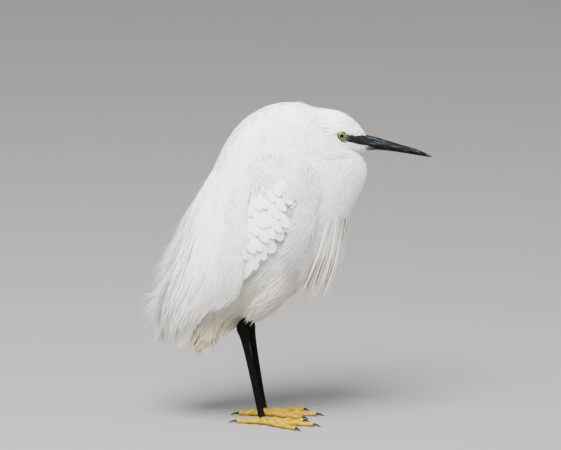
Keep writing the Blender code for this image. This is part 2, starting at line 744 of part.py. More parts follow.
def toe(side, name, ankle, ahead, length, claw_length, neighbours):
    """One toe with its pads, lying flat and clear of its neighbours, and the claw that it carries."""
    across = Vector((-ahead.y, ahead.x, 0))
    base = Vector((ankle.x, ankle.y, 0))
    rings = []
    for i in range(TOE_STEPS + 1):
        share = i / TOE_STEPS
        swell = 1 + 0.12 * math.cos(math.tau * share * (2 if name == "hallux" else 3))
        half = TOE_WIDTH / 2 * (1 - 0.42 * share) * swell
        high = TOE_HEIGHT * (1.15 - 0.5 * share) * swell
        centre = base + ahead * (length * share)
        rings.append([centre + across * (half * a) + Vector((0, 0, high * h)) for a, h in TOE_SECTION])
    piece = skinned_rings("toe_%s_%s" % (name, side), rings)
    clear_of(piece, *neighbours)
    path = []
    for share in (0, 0.2, 0.5, 0.8, 1.0):
        rise = 2.1 + 1.3 * math.sin(math.pi * min(share * 1.1, 1)) - 1.6 * share
        path.append(base + ahead * (length - 2 + (claw_length + 2) * share) + Vector((0, 0, rise)))
    claw = tube("claw_%s_%s" % (name, side), path, CLAW_RADII, 6)
    flatten(claw)
    clear_of(claw, piece)
    return [piece, claw]


def settle(pieces):
    """Move the whole bird so that it stands on z = 0 over the middle of its own outline."""
    corners = [v.co for piece in pieces for v in piece.data.vertices]
    low = [min(c[k] for c in corners) for k in range(3)]
    high = [max(c[k] for c in corners) for k in range(3)]
    shift = Vector((-(low[0] + high[0]) / 2, -(low[1] + high[1]) / 2, -low[2]))
    for piece in pieces:
        for vert in piece.data.vertices:
            vert.co += shift


def main():
    """Build the bird and finish each part."""
    for old in list(bpy.data.objects):
        bpy.data.objects.remove(old)
    rng = random.Random(SEED)
    trunk, neck = trunk_and_neck()
    head = hull_solid("head", Hull(HEAD), 13, 18, 1.5)
    upper, lower = bill(head)
    eyes = head_and_eyes(head, neck)
    combine(trunk, back_plumes(rng) + breast_plumes(rng) + under_tail(), "UNION")
    wings = [wing(side, trunk, neck) for side in SIDE_SIGN]
    rear = tail(trunk)
    legs = [piece for side in SIDE_SIGN for piece in leg(side, trunk, rng)]
    settle([trunk, neck, head, *eyes, upper, lower, *wings, rear, *legs])
    for piece in (trunk, neck, head, *wings):
        paint(piece, WHITE, 0.8)
    paint(rear, CREAM, 0.8)
    for piece in (upper, lower):
        paint(piece, HORN, 0.35)
    for piece in eyes:
        paint(piece, IRIS, 0.1)
    for piece in legs:
        kind = piece.name.split("_")[0]
        colour = {"thigh": WHITE, "shank": HORN, "foot": YELLOW, "toe": YELLOW, "claw": HORN}[kind]
        paint(piece, colour, 0.5)


main()
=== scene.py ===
"""Looks of a life-size little egret: its coat of feathers, bill, eyes, legs and feet.

Shapes are worked out in millimetres on the surfaces that the solids were swept on, and each mesh
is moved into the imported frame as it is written.
"""

import logging
import math
from collections.abc import Callable
from dataclasses import dataclass, field
from enum import Enum, StrEnum
from functools import partial

import bmesh
import bpy
import numpy as np
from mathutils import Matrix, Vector
from mathutils.bvhtree import BVHTree


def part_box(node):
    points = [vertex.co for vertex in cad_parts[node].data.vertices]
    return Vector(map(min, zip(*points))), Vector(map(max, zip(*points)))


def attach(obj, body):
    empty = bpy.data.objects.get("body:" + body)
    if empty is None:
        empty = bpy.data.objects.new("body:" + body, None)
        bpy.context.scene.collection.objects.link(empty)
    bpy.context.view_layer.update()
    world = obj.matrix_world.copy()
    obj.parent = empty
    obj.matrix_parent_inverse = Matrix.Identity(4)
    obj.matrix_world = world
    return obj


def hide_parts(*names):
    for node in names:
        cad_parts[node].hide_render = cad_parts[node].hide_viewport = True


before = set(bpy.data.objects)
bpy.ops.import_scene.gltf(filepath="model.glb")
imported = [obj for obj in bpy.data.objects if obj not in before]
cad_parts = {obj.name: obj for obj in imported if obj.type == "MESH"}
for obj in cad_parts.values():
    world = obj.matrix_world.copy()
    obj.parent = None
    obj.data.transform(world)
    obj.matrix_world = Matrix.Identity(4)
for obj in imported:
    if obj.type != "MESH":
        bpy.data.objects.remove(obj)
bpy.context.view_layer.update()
LOG = logging.getLogger("egret")
Array = np.ndarray
Random = np.random.Generator
Piece = bpy.types.Object
Material = bpy.types.Material
Node = bpy.types.Node
MM = 0.001
SEED = 11
UP = np.array((0.0, 0.0, 1.0))
GOLDEN = 0.61803            # golden section, which spreads locks evenly across the back
PATCH = 0.003               # side of a tuft's own patch on the coat's UV map
UV_DEGREES = 400            # what the UV map's width stands for
UV_HEIGHT = 0.99            # the UV map's share that the places fill


class Side(StrEnum):
    """A side of the bird, as the names of its pieces end."""

    RIGHT = "right"
    LEFT = "left"

    @property
    def sign(self) -> int:
        """The sign of Y there."""
        return -1 if self is Side.RIGHT else 1


class Half(StrEnum):
    """A half of the bill, named as its CAD node."""

    UPPER = "bill_upper"
    LOWER = "bill_lower"


class StainAndShade(Enum):
    """Where the warm colour low down, partly dirt and partly painted shade, starts, where it is full, both as
    heights in metres, and its most.
    """

    NONE = (0.2, 0.09, 0.0)
    BREAST = (0.27, 0.19, 0.3)
    PLUMES = (0.21, 0.09, 0.42)
    BELLY = (0.2, 0.11, 0.5)
    WINGS = (0.14, 0.085, 0.55)
    TAIL = (0.14, 0.085, 0.7)


# Trunk and drawn-in neck from vent to nape: back x, z, front x, z, half width, lean.
TRUNK_ROWS = (
    (-64, 122, -44, 113, 11, 0.0), (-76, 150, -20, 121, 28, 0.0), (-81, 184, 16, 134, 42, 0.0),
    (-75, 222, 52, 160, 50, 0.0), (-60, 262, 79, 203, 52, 0.1), (-44, 303, 100, 240, 47, 0.25),
    (-22, 335, 115, 277, 38, 0.28), (7, 353, 106, 302, 30, 0.15), (33, 357, 82, 316, 23, 0.0),
    (52, 352, 66, 336, 12, 0.0))
HEAD_ROWS = (
    (22, 343, 22, 318, 10, 0), (36, 351, 38, 303, 17, 0), (55, 350.5, 58, 294, 19.5, 0),
    (72, 350, 74, 296, 18.8, 0), (86, 347.3, 88, 298.5, 16.5, 0), (98, 340.6, 101, 299.5, 12.5, 0),
    (107.8, 331, 111, 301.5, 9, 0), (114, 322.5, 119.5, 303.8, 6.4, 0))
WRAP_ROWS = (
    (-100, 92, -72, 78, 15, 0.0), (-103, 125, -48, 98, 28, 0.0), (-98, 160, -16, 118, 43, 0.0),
    (-89, 195, 24, 138, 54, 0.0), (-77, 232, 58, 170, 59, 0.0), (-59, 268, 78, 210, 58, 0.0),
    (-38, 302, 84, 250, 53, 0.1), (-12, 328, 82, 285, 44, 0.1))
BIB_ROWS = (
    (-10, 164, 77, 148, 22, 0), (-2, 198, 87, 182, 28, 0), (10, 230, 91, 213, 32, 0),
    (22, 258, 95, 241, 34, 0))
WING_EDGES = ((78, 132), (79, 150), (82, 160), (79, 160), (75, 152), (69, 134), (71, 116), (78, 112))
EYE = (86.8, 12.5, 323.8)
EYE_RADIUS = 5.6
BILL_ROWS = (
    (106, 322.5, 310.4, 303.0, 5.6), (114, 321.6, 310.0, 303.6, 6.2), (121, 320.2, 309.7, 304.4, 5.7),
    (128, 318.4, 309.2, 304.6, 5.0), (146, 312.7, 306.4, 302.6, 3.9), (164, 307.5, 302.9, 299.7, 3.0),
    (176, 303.0, 299.6, 297.7, 2.1), (183, 299.4, 297.5, 296.7, 1.2), (186.3, 297.2, 296.9, 296.4, 0.5))
HEEL = {Side.RIGHT: (-22, -20, 110), Side.LEFT: (-14, 20, 108)}
ANKLE = {Side.RIGHT: (-0.5, -20, 9), Side.LEFT: (1.5, 20, 9)}
KNEE = {Side.RIGHT: (18, -24, 168), Side.LEFT: (24, 24, 166)}

# Side view (x, z) of the cheek, down to the crease over the neck.
CHEEK = ((62, 345), (68, 322), (75, 304), (88, 306), (104, 306), (110, 308), (112, 325), (84, 345))

low_eye, high_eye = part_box("eye_right")
SHIFT = np.array((low_eye + high_eye) / 2) / MM - np.array((EYE[0], -EYE[1], EYE[2]))


def hex_to_linear(code: str) -> tuple[float, float, float, float]:
    """Turn an sRGB hex colour into linear RGBA.

    Args:
        code: six hex digits, with or without a leading #.

    Returns:
        The linear colour with alpha 1.
    """
    digits = code.lstrip("#")
    channels = [int(digits[k:k + 2], 16) / 255 for k in (0, 2, 4)]
    linear = [c / 12.92 if c <= 0.04045 else ((c + 0.055) / 1.055) ** 2.4 for c in channels]
    return (*linear, 1.0)


def feed(node: Node, inputs: dict) -> None:
    """Set or link a node's inputs.

    Args:
        node: the node.
        inputs: for each input, by name or number, its value, a hex colour, the output that feeds it,
            or a node whose first output does.
    """
    for key, value in inputs.items():
        if isinstance(value, bpy.types.Node):
            value = value.outputs[0]
        if isinstance(value, bpy.types.NodeSocket):
            node.id_data.links.new(value, node.inputs[key])
        elif isinstance(value, str) and value.startswith("#"):
            node.inputs[key].default_value = hex_to_linear(value)
        else:
            node.inputs[key].default_value = value


def add_node(tree: bpy.types.NodeTree, kind: str, inputs: dict | None = None, **settings: object) -> Node:
    """Add a node to a tree.

    Args:
        tree: the node tree.
        kind: the node's type name.
        inputs: its inputs, as feed takes them.
        settings: the node's own properties.

    Returns:
        The new node.
    """
    node = tree.nodes.new(kind)
    for key, value in settings.items():
        setattr(node, key, value)
    feed(node, inputs or {})
    return node


def new_material(name: str, **shader: float | str) -> tuple[Material, Callable, Node]:
    """Start a material with one Principled shader.

    Args:
        name: what the finish is.
        shader: constant socket values, with _ for a space.

    Returns:
        The material, add_node for its tree, and its shader.
    """
    material = bpy.data.materials.new(name)
    material.use_nodes = True
    bsdf = material.node_tree.nodes["Principled BSDF"]
    feed(bsdf, {key.replace("_", " "): value for key, value in shader.items()})
    return material, partial(add_node, material.node_tree), bsdf


@dataclass(frozen=True)
class PlumageFinish:
    """White feather keratin, combed by the bird: matt, with a cool painted shade, and warm low down from dirt
    and painted shade.

    The barbs scatter light, so feathers look soft and bright at their tips; painted shade darkens them
    towards their roots.
    """

    name: str
    lit: str = "#F7F8F8"
    shade: str = "#DCE1E6"
    stain_and_shade: str = "#CBBFA2"
    stain_and_shade_band: StainAndShade = StainAndShade.NONE
    variety: float = 0.15
    painted_root_shade: float = 0.6
    barb_pitch: float = 0.0

    def build(self) -> Material:
        """Make the material.

        Returns:
            The material.
        """
        material, add, shader = new_material(
            self.name, Roughness=0.78, Sheen_Weight=0.15, Sheen_Roughness=0.5, Specular_IOR_Level=0.3)
        place = add("ShaderNodeTexCoord").outputs["Object"]
        along, tint = (
            add("ShaderNodeAttribute", attribute_name=mark).outputs["Fac"] for mark in ("along", "tint"))
        # Painted shade: blades darken towards their roots, where the coat shades them, and vary at random
        # from blade to blade.
        deep = add("ShaderNodeMath", {0: 0.6, 1: along}, operation="SUBTRACT", use_clamp=True)
        varied = add("ShaderNodeMath", {0: tint, 1: self.variety}, operation="MULTIPLY", use_clamp=True)
        dark = add("ShaderNodeMath", {0: deep, 1: self.painted_root_shade, 2: varied}, operation="MULTIPLY_ADD",
                   use_clamp=True)
        colour = add("ShaderNodeMix", {0: dark, 6: self.lit, 7: self.shade}, data_type="RGBA").outputs[2]
        # Painted shade and dirt: lower down the colour turns warm, where less light reaches and mud rubs off.
        top, bottom, most = self.stain_and_shade_band.value
        if most:
            height = add("ShaderNodeSeparateXYZ", {0: place}).outputs["Z"]
            low = add("ShaderNodeMapRange", {0: height, 1: top, 2: bottom, 3: 0.0, 4: most},
                      interpolation_type="SMOOTHSTEP")
            # The warm dirt and painted shade come in blotches about 30 mm across.
            blotch = add("ShaderNodeTexNoise", {"Vector": place, "Scale": 32.0, "Detail": 3.0})
            uneven = add("ShaderNodeMath", {0: blotch, 1: 1.4, 2: 0.35}, operation="MULTIPLY_ADD",
                         use_clamp=True)
            patchy = add("ShaderNodeMath", {0: low, 1: uneven}, operation="MULTIPLY", use_clamp=True)
            colour = add("ShaderNodeMix", {0: patchy, 6: colour, 7: self.stain_and_shade}, data_type="RGBA").outputs[2]
        feed(shader, {"Base Color": colour})
        if self.barb_pitch:
            barb = add("ShaderNodeAttribute", attribute_name="barb").outputs["Fac"]
            phase = add("ShaderNodeMath", {0: barb, 1: math.tau / self.barb_pitch}, operation="MULTIPLY")
            wave = add("ShaderNodeMath", {0: phase}, operation="SINE")
            bump = add("ShaderNodeBump", {"Strength": 0.35, "Distance": 0.0002, "Height": wave})
            feed(shader, {"Normal": bump})
        return material


@dataclass(frozen=True)
class HornFinish:
    """Keratin horn of the bill and claws: near black, satin, with a painted blue-grey highlight in fine
    streaks.
    """

    name: str
    deep: str = "#020203"
    painted_highlight: str = "#465563"
    base: str = ""
    base_end: float = 0.0
    roughness: float = 0.42

    def build(self) -> Material:
        """Make the material.

        Returns:
            The material.
        """
        material, add, shader = new_material(
            self.name, Roughness=self.roughness, IOR=1.54, Specular_IOR_Level=0.16)
        place = add("ShaderNodeTexCoord").outputs["Object"]
        # Growth streaks run along the bill, which points 11 degrees down: 0.8 mm across, 50 mm long.
        stretched = add(
            "ShaderNodeMapping",
            {0: place, "Rotation": (0.0, math.radians(11), 0.0), "Scale": (0.05, 0.0008, 0.0008)},
            vector_type="TEXTURE")
        streak = add("ShaderNodeTexNoise", {"Vector": stretched, "Scale": 1.0, "Detail": 2.0})
        # Clouds about 9 mm across break the streaks up.
        cloud = add("ShaderNodeTexNoise", {"Vector": place, "Scale": 110.0, "Detail": 3.0})
        uneven = add("ShaderNodeMath", {0: cloud, 1: 0.2, 2: streak}, operation="MULTIPLY_ADD")
        # Painted highlight: the horn turns blue-grey where the streaks stand out, as if they caught the
        # light.
        highlight_share = add("ShaderNodeMath", {0: uneven, 1: 6.0, 2: -4.15}, operation="MULTIPLY_ADD", use_clamp=True)
        colour = add("ShaderNodeMix", {0: highlight_share, 6: self.deep, 7: self.painted_highlight}, data_type="RGBA").outputs[2]
        if self.base:
            x = add("ShaderNodeSeparateXYZ", {0: place}).outputs["X"]
            near = add("ShaderNodeMapRange", {0: x, 1: self.base_end, 2: self.base_end - 0.02},
                       interpolation_type="SMOOTHSTEP")
            colour = add("ShaderNodeMix", {0: near, 6: colour, 7: self.base}, data_type="RGBA").outputs[2]
        bump = add("ShaderNodeBump", {"Strength": 0.4, "Distance": 0.0003, "Height": streak})
        feed(shader, {"Base Color": colour, "Normal": bump})
        return material


@dataclass(frozen=True)
class FadeFinish:
    """Bare facial skin or an iris: colours in rings along one attribute of the surface."""

    name: str
    attribute: str
    stops: tuple
    roughness: float
    coat: float
    pebble: float
    ragged: float = 0.0

    def build(self) -> Material:
        """Make the material.

        Returns:
            The material.
        """
        material, add, shader = new_material(
            self.name, Roughness=self.roughness, Coat_Weight=self.coat, Coat_Roughness=0.04,
            Specular_IOR_Level=0.2)
        fade = add("ShaderNodeAttribute", attribute_name=self.attribute).outputs["Fac"]
        place = add("ShaderNodeTexCoord").outputs["Object"]
        # Blotches of bare skin are about 2.5 mm across, its grain about 1.1 mm.
        blotch = add("ShaderNodeTexNoise", {"Vector": place, "Scale": 400.0, "Detail": 2.0})
        above = add("ShaderNodeMath", {0: blotch, 1: 0.35}, operation="SUBTRACT", use_clamp=True)
        shifted = add(
            "ShaderNodeMath", {0: above, 1: self.ragged, 2: fade}, operation="MULTIPLY_ADD", use_clamp=True)
        ramp = add("ShaderNodeValToRGB", {0: shifted})
        while len(ramp.color_ramp.elements) < len(self.stops):
            ramp.color_ramp.elements.new(0.5)
        for element, (position, code) in zip(ramp.color_ramp.elements, self.stops):
            element.position = position
            element.color = hex_to_linear(code)
        grain = add("ShaderNodeTexNoise", {"Vector": place, "Scale": 900.0, "Detail": 2.0})
        colour = add("ShaderNodeMix", {0: 0.5, 6: ramp, 7: grain}, data_type="RGBA",
                     blend_type="MULTIPLY").outputs[2]
        feed(shader, {"Base Color": colour})
        if self.pebble:
            cells = add("ShaderNodeTexVoronoi", {"Vector": place, "Scale": 1.0 / self.pebble})
            bump = add(
                "ShaderNodeBump", {"Strength": 0.5, "Distance": 0.0002, "Height": cells.outputs["Distance"]},
                invert=True)
            feed(shader, {"Normal": bump})
        return material


@dataclass(frozen=True)
class ScaledSkinFinish:
    """Scaled leg and foot skin: horny plates with painted shade in the creases, patches of mud, black above,
    yellow below.
    """

    name: str
    plate: str
    painted_crease_shade: str
    mud: str
    mud_share: float
    gloss: float
    upper: str = ""
    turn_low: float = 0.0
    turn_high: float = 0.0

    def build(self) -> Material:
        """Make the material.

        Returns:
            The material.
        """
        material, add, shader = new_material(self.name, Roughness=0.55, Specular_IOR_Level=self.gloss)
        place = add("ShaderNodeTexCoord").outputs["Object"]
        # Small scales between the plates are about 1.1 mm across.
        cells = add("ShaderNodeTexVoronoi", {"Vector": place, "Scale": 900.0},
                    feature="DISTANCE_TO_EDGE").outputs["Distance"]
        ridge = add("ShaderNodeMapRange", {0: cells, 1: 0.0, 2: 0.18})
        # Mud lies in patches about 6 mm across.
        dirt = add("ShaderNodeTexNoise", {"Vector": place, "Scale": 160.0, "Detail": 4.0})
        # Painted shade: the creases between the plates are darker.
        colour = add("ShaderNodeMix", {0: ridge, 6: self.painted_crease_shade, 7: self.plate}, data_type="RGBA").outputs[2]
        thick = add("ShaderNodeMath", {0: dirt, 1: 0.42}, operation="SUBTRACT", use_clamp=True)
        muddy = add("ShaderNodeMath", {0: thick, 1: 4.0 * self.mud_share}, operation="MULTIPLY",
                    use_clamp=True)
        colour = add("ShaderNodeMix", {0: muddy, 6: colour, 7: self.mud}, data_type="RGBA").outputs[2]
        if self.upper:
            height = add("ShaderNodeSeparateXYZ", {0: place}).outputs["Z"]
            wavy = add("ShaderNodeMath", {0: dirt, 1: 0.006, 2: height}, operation="MULTIPLY_ADD",
                       use_clamp=True)
            change = add("ShaderNodeMapRange", {0: wavy, 1: self.turn_low, 2: self.turn_high},
                         interpolation_type="SMOOTHSTEP")
            colour = add("ShaderNodeMix", {0: change, 6: colour, 7: self.upper}, data_type="RGBA").outputs[2]
        bump = add("ShaderNodeBump", {"Strength": 0.6, "Distance": 0.00025, "Height": ridge})
        feed(shader, {"Base Color": colour, "Normal": bump})
        return material


def unit(vectors: Array) -> Array:
    """Vectors at length 1."""
    return vectors / np.maximum(np.linalg.norm(vectors, axis=-1, keepdims=True), 1e-9)


def blend_rows(rows: Array, place: Array) -> Array:
    """Catmull-Rom rows at fractional places, straight on past both ends.

    Args:
        rows: table of values, one row for each whole place.
        place: any array of places.

    Returns:
        The rows at those places, in an array one dimension larger.
    """
    place = np.asarray(place, float)
    last = len(rows) - 1
    i = np.clip(np.floor(place).astype(int), 0, last - 1)
    t = (place - i)[..., None]
    p0, p1, p2, p3 = rows[np.maximum(i - 1, 0)], rows[i], rows[i + 1], rows[np.minimum(i + 2, last)]
    curve = 0.5 * (2 * p1 + (p2 - p0) * t + (2 * p0 - 5 * p1 + 4 * p2 - p3) * t ** 2
                   + (3 * p1 - p0 - 3 * p2 + p3) * t ** 3)
    outside = ((place < 0) | (place > last))[..., None]
    return np.where(outside, p1 + (p2 - p1) * t, curve)


class Surface:
    """Something feathers lie on, read by place and angle; they point towards lower places."""

    last = 1.0

    def skin(self, place: Array, angle: Array) -> Array:
        """Points of the surface in millimetres."""
        raise NotImplementedError

    def normal(self, place: Array, angle: Array) -> Array:
        """Outward directions.

        Args:
            place: places.
            angle: angles.

        Returns:
            Unit vectors.
        """
        along = self.skin(place + 0.05, angle) - self.skin(place - 0.05, angle)
        around = self.skin(place, angle + 2) - self.skin(place, angle - 2)
        return unit(np.cross(around, along))

    def point(self, place: Array, angle: Array, lift: Array | float = 0.0) -> Array:
        """Points at a height above the surface."""
        return self.skin(place, angle) + self.normal(place, angle) * np.asarray(lift)[..., None]

    def scales(self, place: Array, angle: Array) -> tuple[Array, Array]:
        """Lengths on the surface.

        Args:
            place: places.
            angle: angles.

        Returns:
            Millimetres for each place and for each degree.
        """
        along = np.linalg.norm(self.skin(place + 0.1, angle) - self.skin(place - 0.1, angle), axis=-1) / 0.2
        around = np.linalg.norm(self.skin(place, angle + 2) - self.skin(place, angle - 2), axis=-1) / 4
        return np.maximum(along, 1.0), np.maximum(around, 0.02)

    def home(self, place: Array, angle: Array) -> Array:
        """Corner of a blade's own patch on the UV map."""
        return np.stack((angle % 360 / UV_DEGREES, place / (self.last + 1) * UV_HEIGHT), -1)


class Hull(Surface):
    """A body swept through egg-shaped sections. Angle 0 is the front, 180 the back, positive on +Y."""

    def __init__(self, rows: tuple) -> None:
        """Keep the rows.

        Args:
            rows: back x, z, front x, z, half width and lean of each section.
        """
        self.rows = np.array(rows, float)
        self.last = len(rows) - 1

    def skin(self, place: Array, angle: Array) -> Array:
        """Points of the hull.

        Args:
            place: places, one for each row.
            angle: angles in degrees.

        Returns:
            The points in millimetres.
        """
        row = blend_rows(self.rows, place)
        turn = np.radians(angle)
        share = (1 + np.cos(turn)) / 2
        across = row[..., 4] * np.sin(turn) * (1 - row[..., 5] * np.cos(turn))
        x = row[..., 0] + (row[..., 2] - row[..., 0]) * share
        z = row[..., 1] + (row[..., 3] - row[..., 1]) * share
        return np.stack((x, across, z), -1)


class Limb(Surface):
    """A round limb from place 1, its top, to place 0, its lower end, with radii along it."""

    def __init__(self, top: tuple, bottom: tuple, profile: tuple) -> None:
        """Keep the limb's line and radii.

        Args:
            top: upper end.
            bottom: lower end.
            profile: (share of the way down, radius) pairs.
        """
        self.top, self.bottom = np.array(top, float), np.array(bottom, float)
        self.shares, self.radii = np.array(profile, float).T
        up = unit(self.top - self.bottom)
        self.side = unit(np.cross(up, (1.0, 0.0, 0.0)))
        self.front = np.cross(self.side, up)

    def skin(self, place: Array, angle: Array) -> Array:
        """Points of the limb.

        Args:
            place: places.
            angle: angles in degrees.

        Returns:
            The points in millimetres.
        """
        place = np.asarray(place, float)
        radius = np.interp(1 - place, self.shares, self.radii)[..., None]
        turn = np.radians(angle)[..., None]
        centre = self.bottom + (self.top - self.bottom) * place[..., None]
        return centre + (self.front * np.cos(turn) + self.side * np.sin(turn)) * radius

    def drape(self, points: Array, up: Array, gap: Array) -> tuple[Array, Array]:
        """Push points that lie in the limb out to its surface.

        Args:
            points: (..., 3).
            up: (..., 3) outward directions at the points.
            gap: (..., 1) their distance from the surface afterwards.

        Returns:
            The points and their outward directions.
        """
        axis = self.top - self.bottom
        place = ((points - self.bottom) @ axis) / (axis @ axis)
        away = points - self.bottom - np.clip(place, 0, 1.4)[..., None] * axis
        distance = np.maximum(np.linalg.norm(away, axis=-1), 1.0)
        wanted = np.interp(1 - place, self.shares, self.radii) + gap
        push = np.where((place > 0.1) & (place < 1.4), np.maximum(wanted - distance, 0), 0)[..., None]
        way = away / distance[..., None]
        return points + way * push, unit(up + 0.25 * way * np.minimum(push, 3))


class Plate(Surface):
    """A flat guide from place 1, a feather's root, to place 0, its tip; angles are millimetres across."""

    def __init__(self, start: Array, stop: Array, up: Array) -> None:
        """Keep the guide's line.

        Args:
            start: root.
            stop: tip.
            up: outward direction.
        """
        self.start, self.stop = start, stop
        ahead = unit(stop - start)
        self.side = unit(np.cross(ahead, up))
        self.up = np.cross(self.side, ahead)

    def skin(self, place: Array, angle: Array) -> Array:
        """Points of the guide in millimetres."""
        place = np.asarray(place, float)[..., None]
        return self.stop + (self.start - self.stop) * place + self.side * np.asarray(angle, float)[..., None]

    def normal(self, place: Array, angle: Array) -> Array:
        """Outward directions."""
        return np.broadcast_to(self.up, (*np.shape(place), 3))


TRUNK, HEAD, WRAP, BIB = Hull(TRUNK_ROWS), Hull(HEAD_ROWS), Hull(WRAP_ROWS), Hull(BIB_ROWS)


def write_mesh(name: str, points: Array, faces: Array, corner_uv: Array | None = None,
               marks: dict | None = None) -> Piece:
    """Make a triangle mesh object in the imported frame.

    Args:
        name: the object's name.
        points: (N, 3) in millimetres of the design frame.
        faces: (F, 3) vertex numbers.
        corner_uv: (N, 2) UV of each vertex, or None.
        marks: point attributes by name.

    Returns:
        The object, linked to the scene.
    """
    mesh = bpy.data.meshes.new(name)
    mesh.vertices.add(len(points))
    mesh.vertices.foreach_set("co", ((points + SHIFT) * MM).astype(np.float32).ravel())
    mesh.loops.add(faces.size)
    mesh.loops.foreach_set("vertex_index", faces.astype(np.int32).ravel())
    mesh.polygons.add(len(faces))
    mesh.polygons.foreach_set("loop_start", np.arange(0, faces.size, 3, dtype=np.int32))
    mesh.update(calc_edges=True)
    mesh.shade_smooth()
    if corner_uv is not None:
        layer = mesh.uv_layers.new(name="OFBake")
        layer.uv.foreach_set("vector", corner_uv[faces.ravel()].astype(np.float32).ravel())
    for mark, values in (marks or {}).items():
        mesh.attributes.new(mark, "FLOAT", "POINT").data.foreach_set("value", values.astype(np.float32))
    piece = bpy.data.objects.new(name, mesh)
    bpy.context.scene.collection.objects.link(piece)
    return piece


def sheet_faces(rows: int, columns: int) -> Array:
    """Triangles of a thin closed sheet: a grid of points, the same grid behind it, and the rim.

    Args:
        rows: rows of points.
        columns: points in a row.

    Returns:
        The faces; the points behind come after all those in front.
    """
    count = rows * columns
    grid = np.arange(count).reshape(rows, columns)
    a, b, c, d = (part.ravel() for part in (grid[:-1, :-1], grid[:-1, 1:], grid[1:, 1:], grid[1:, :-1]))
    front = np.concatenate((np.stack((a, b, c), -1), np.stack((a, c, d), -1)))
    rim = np.concatenate((grid[0, :], grid[1:, -1], grid[-1, -2::-1], grid[-2:0:-1, 0]))
    ahead = np.roll(rim, -1)
    wall = np.concatenate(
        (np.stack((ahead, rim, rim + count), -1), np.stack((ahead, rim + count, ahead + count), -1)))
    return np.concatenate((front, front[:, ::-1] + count, wall))


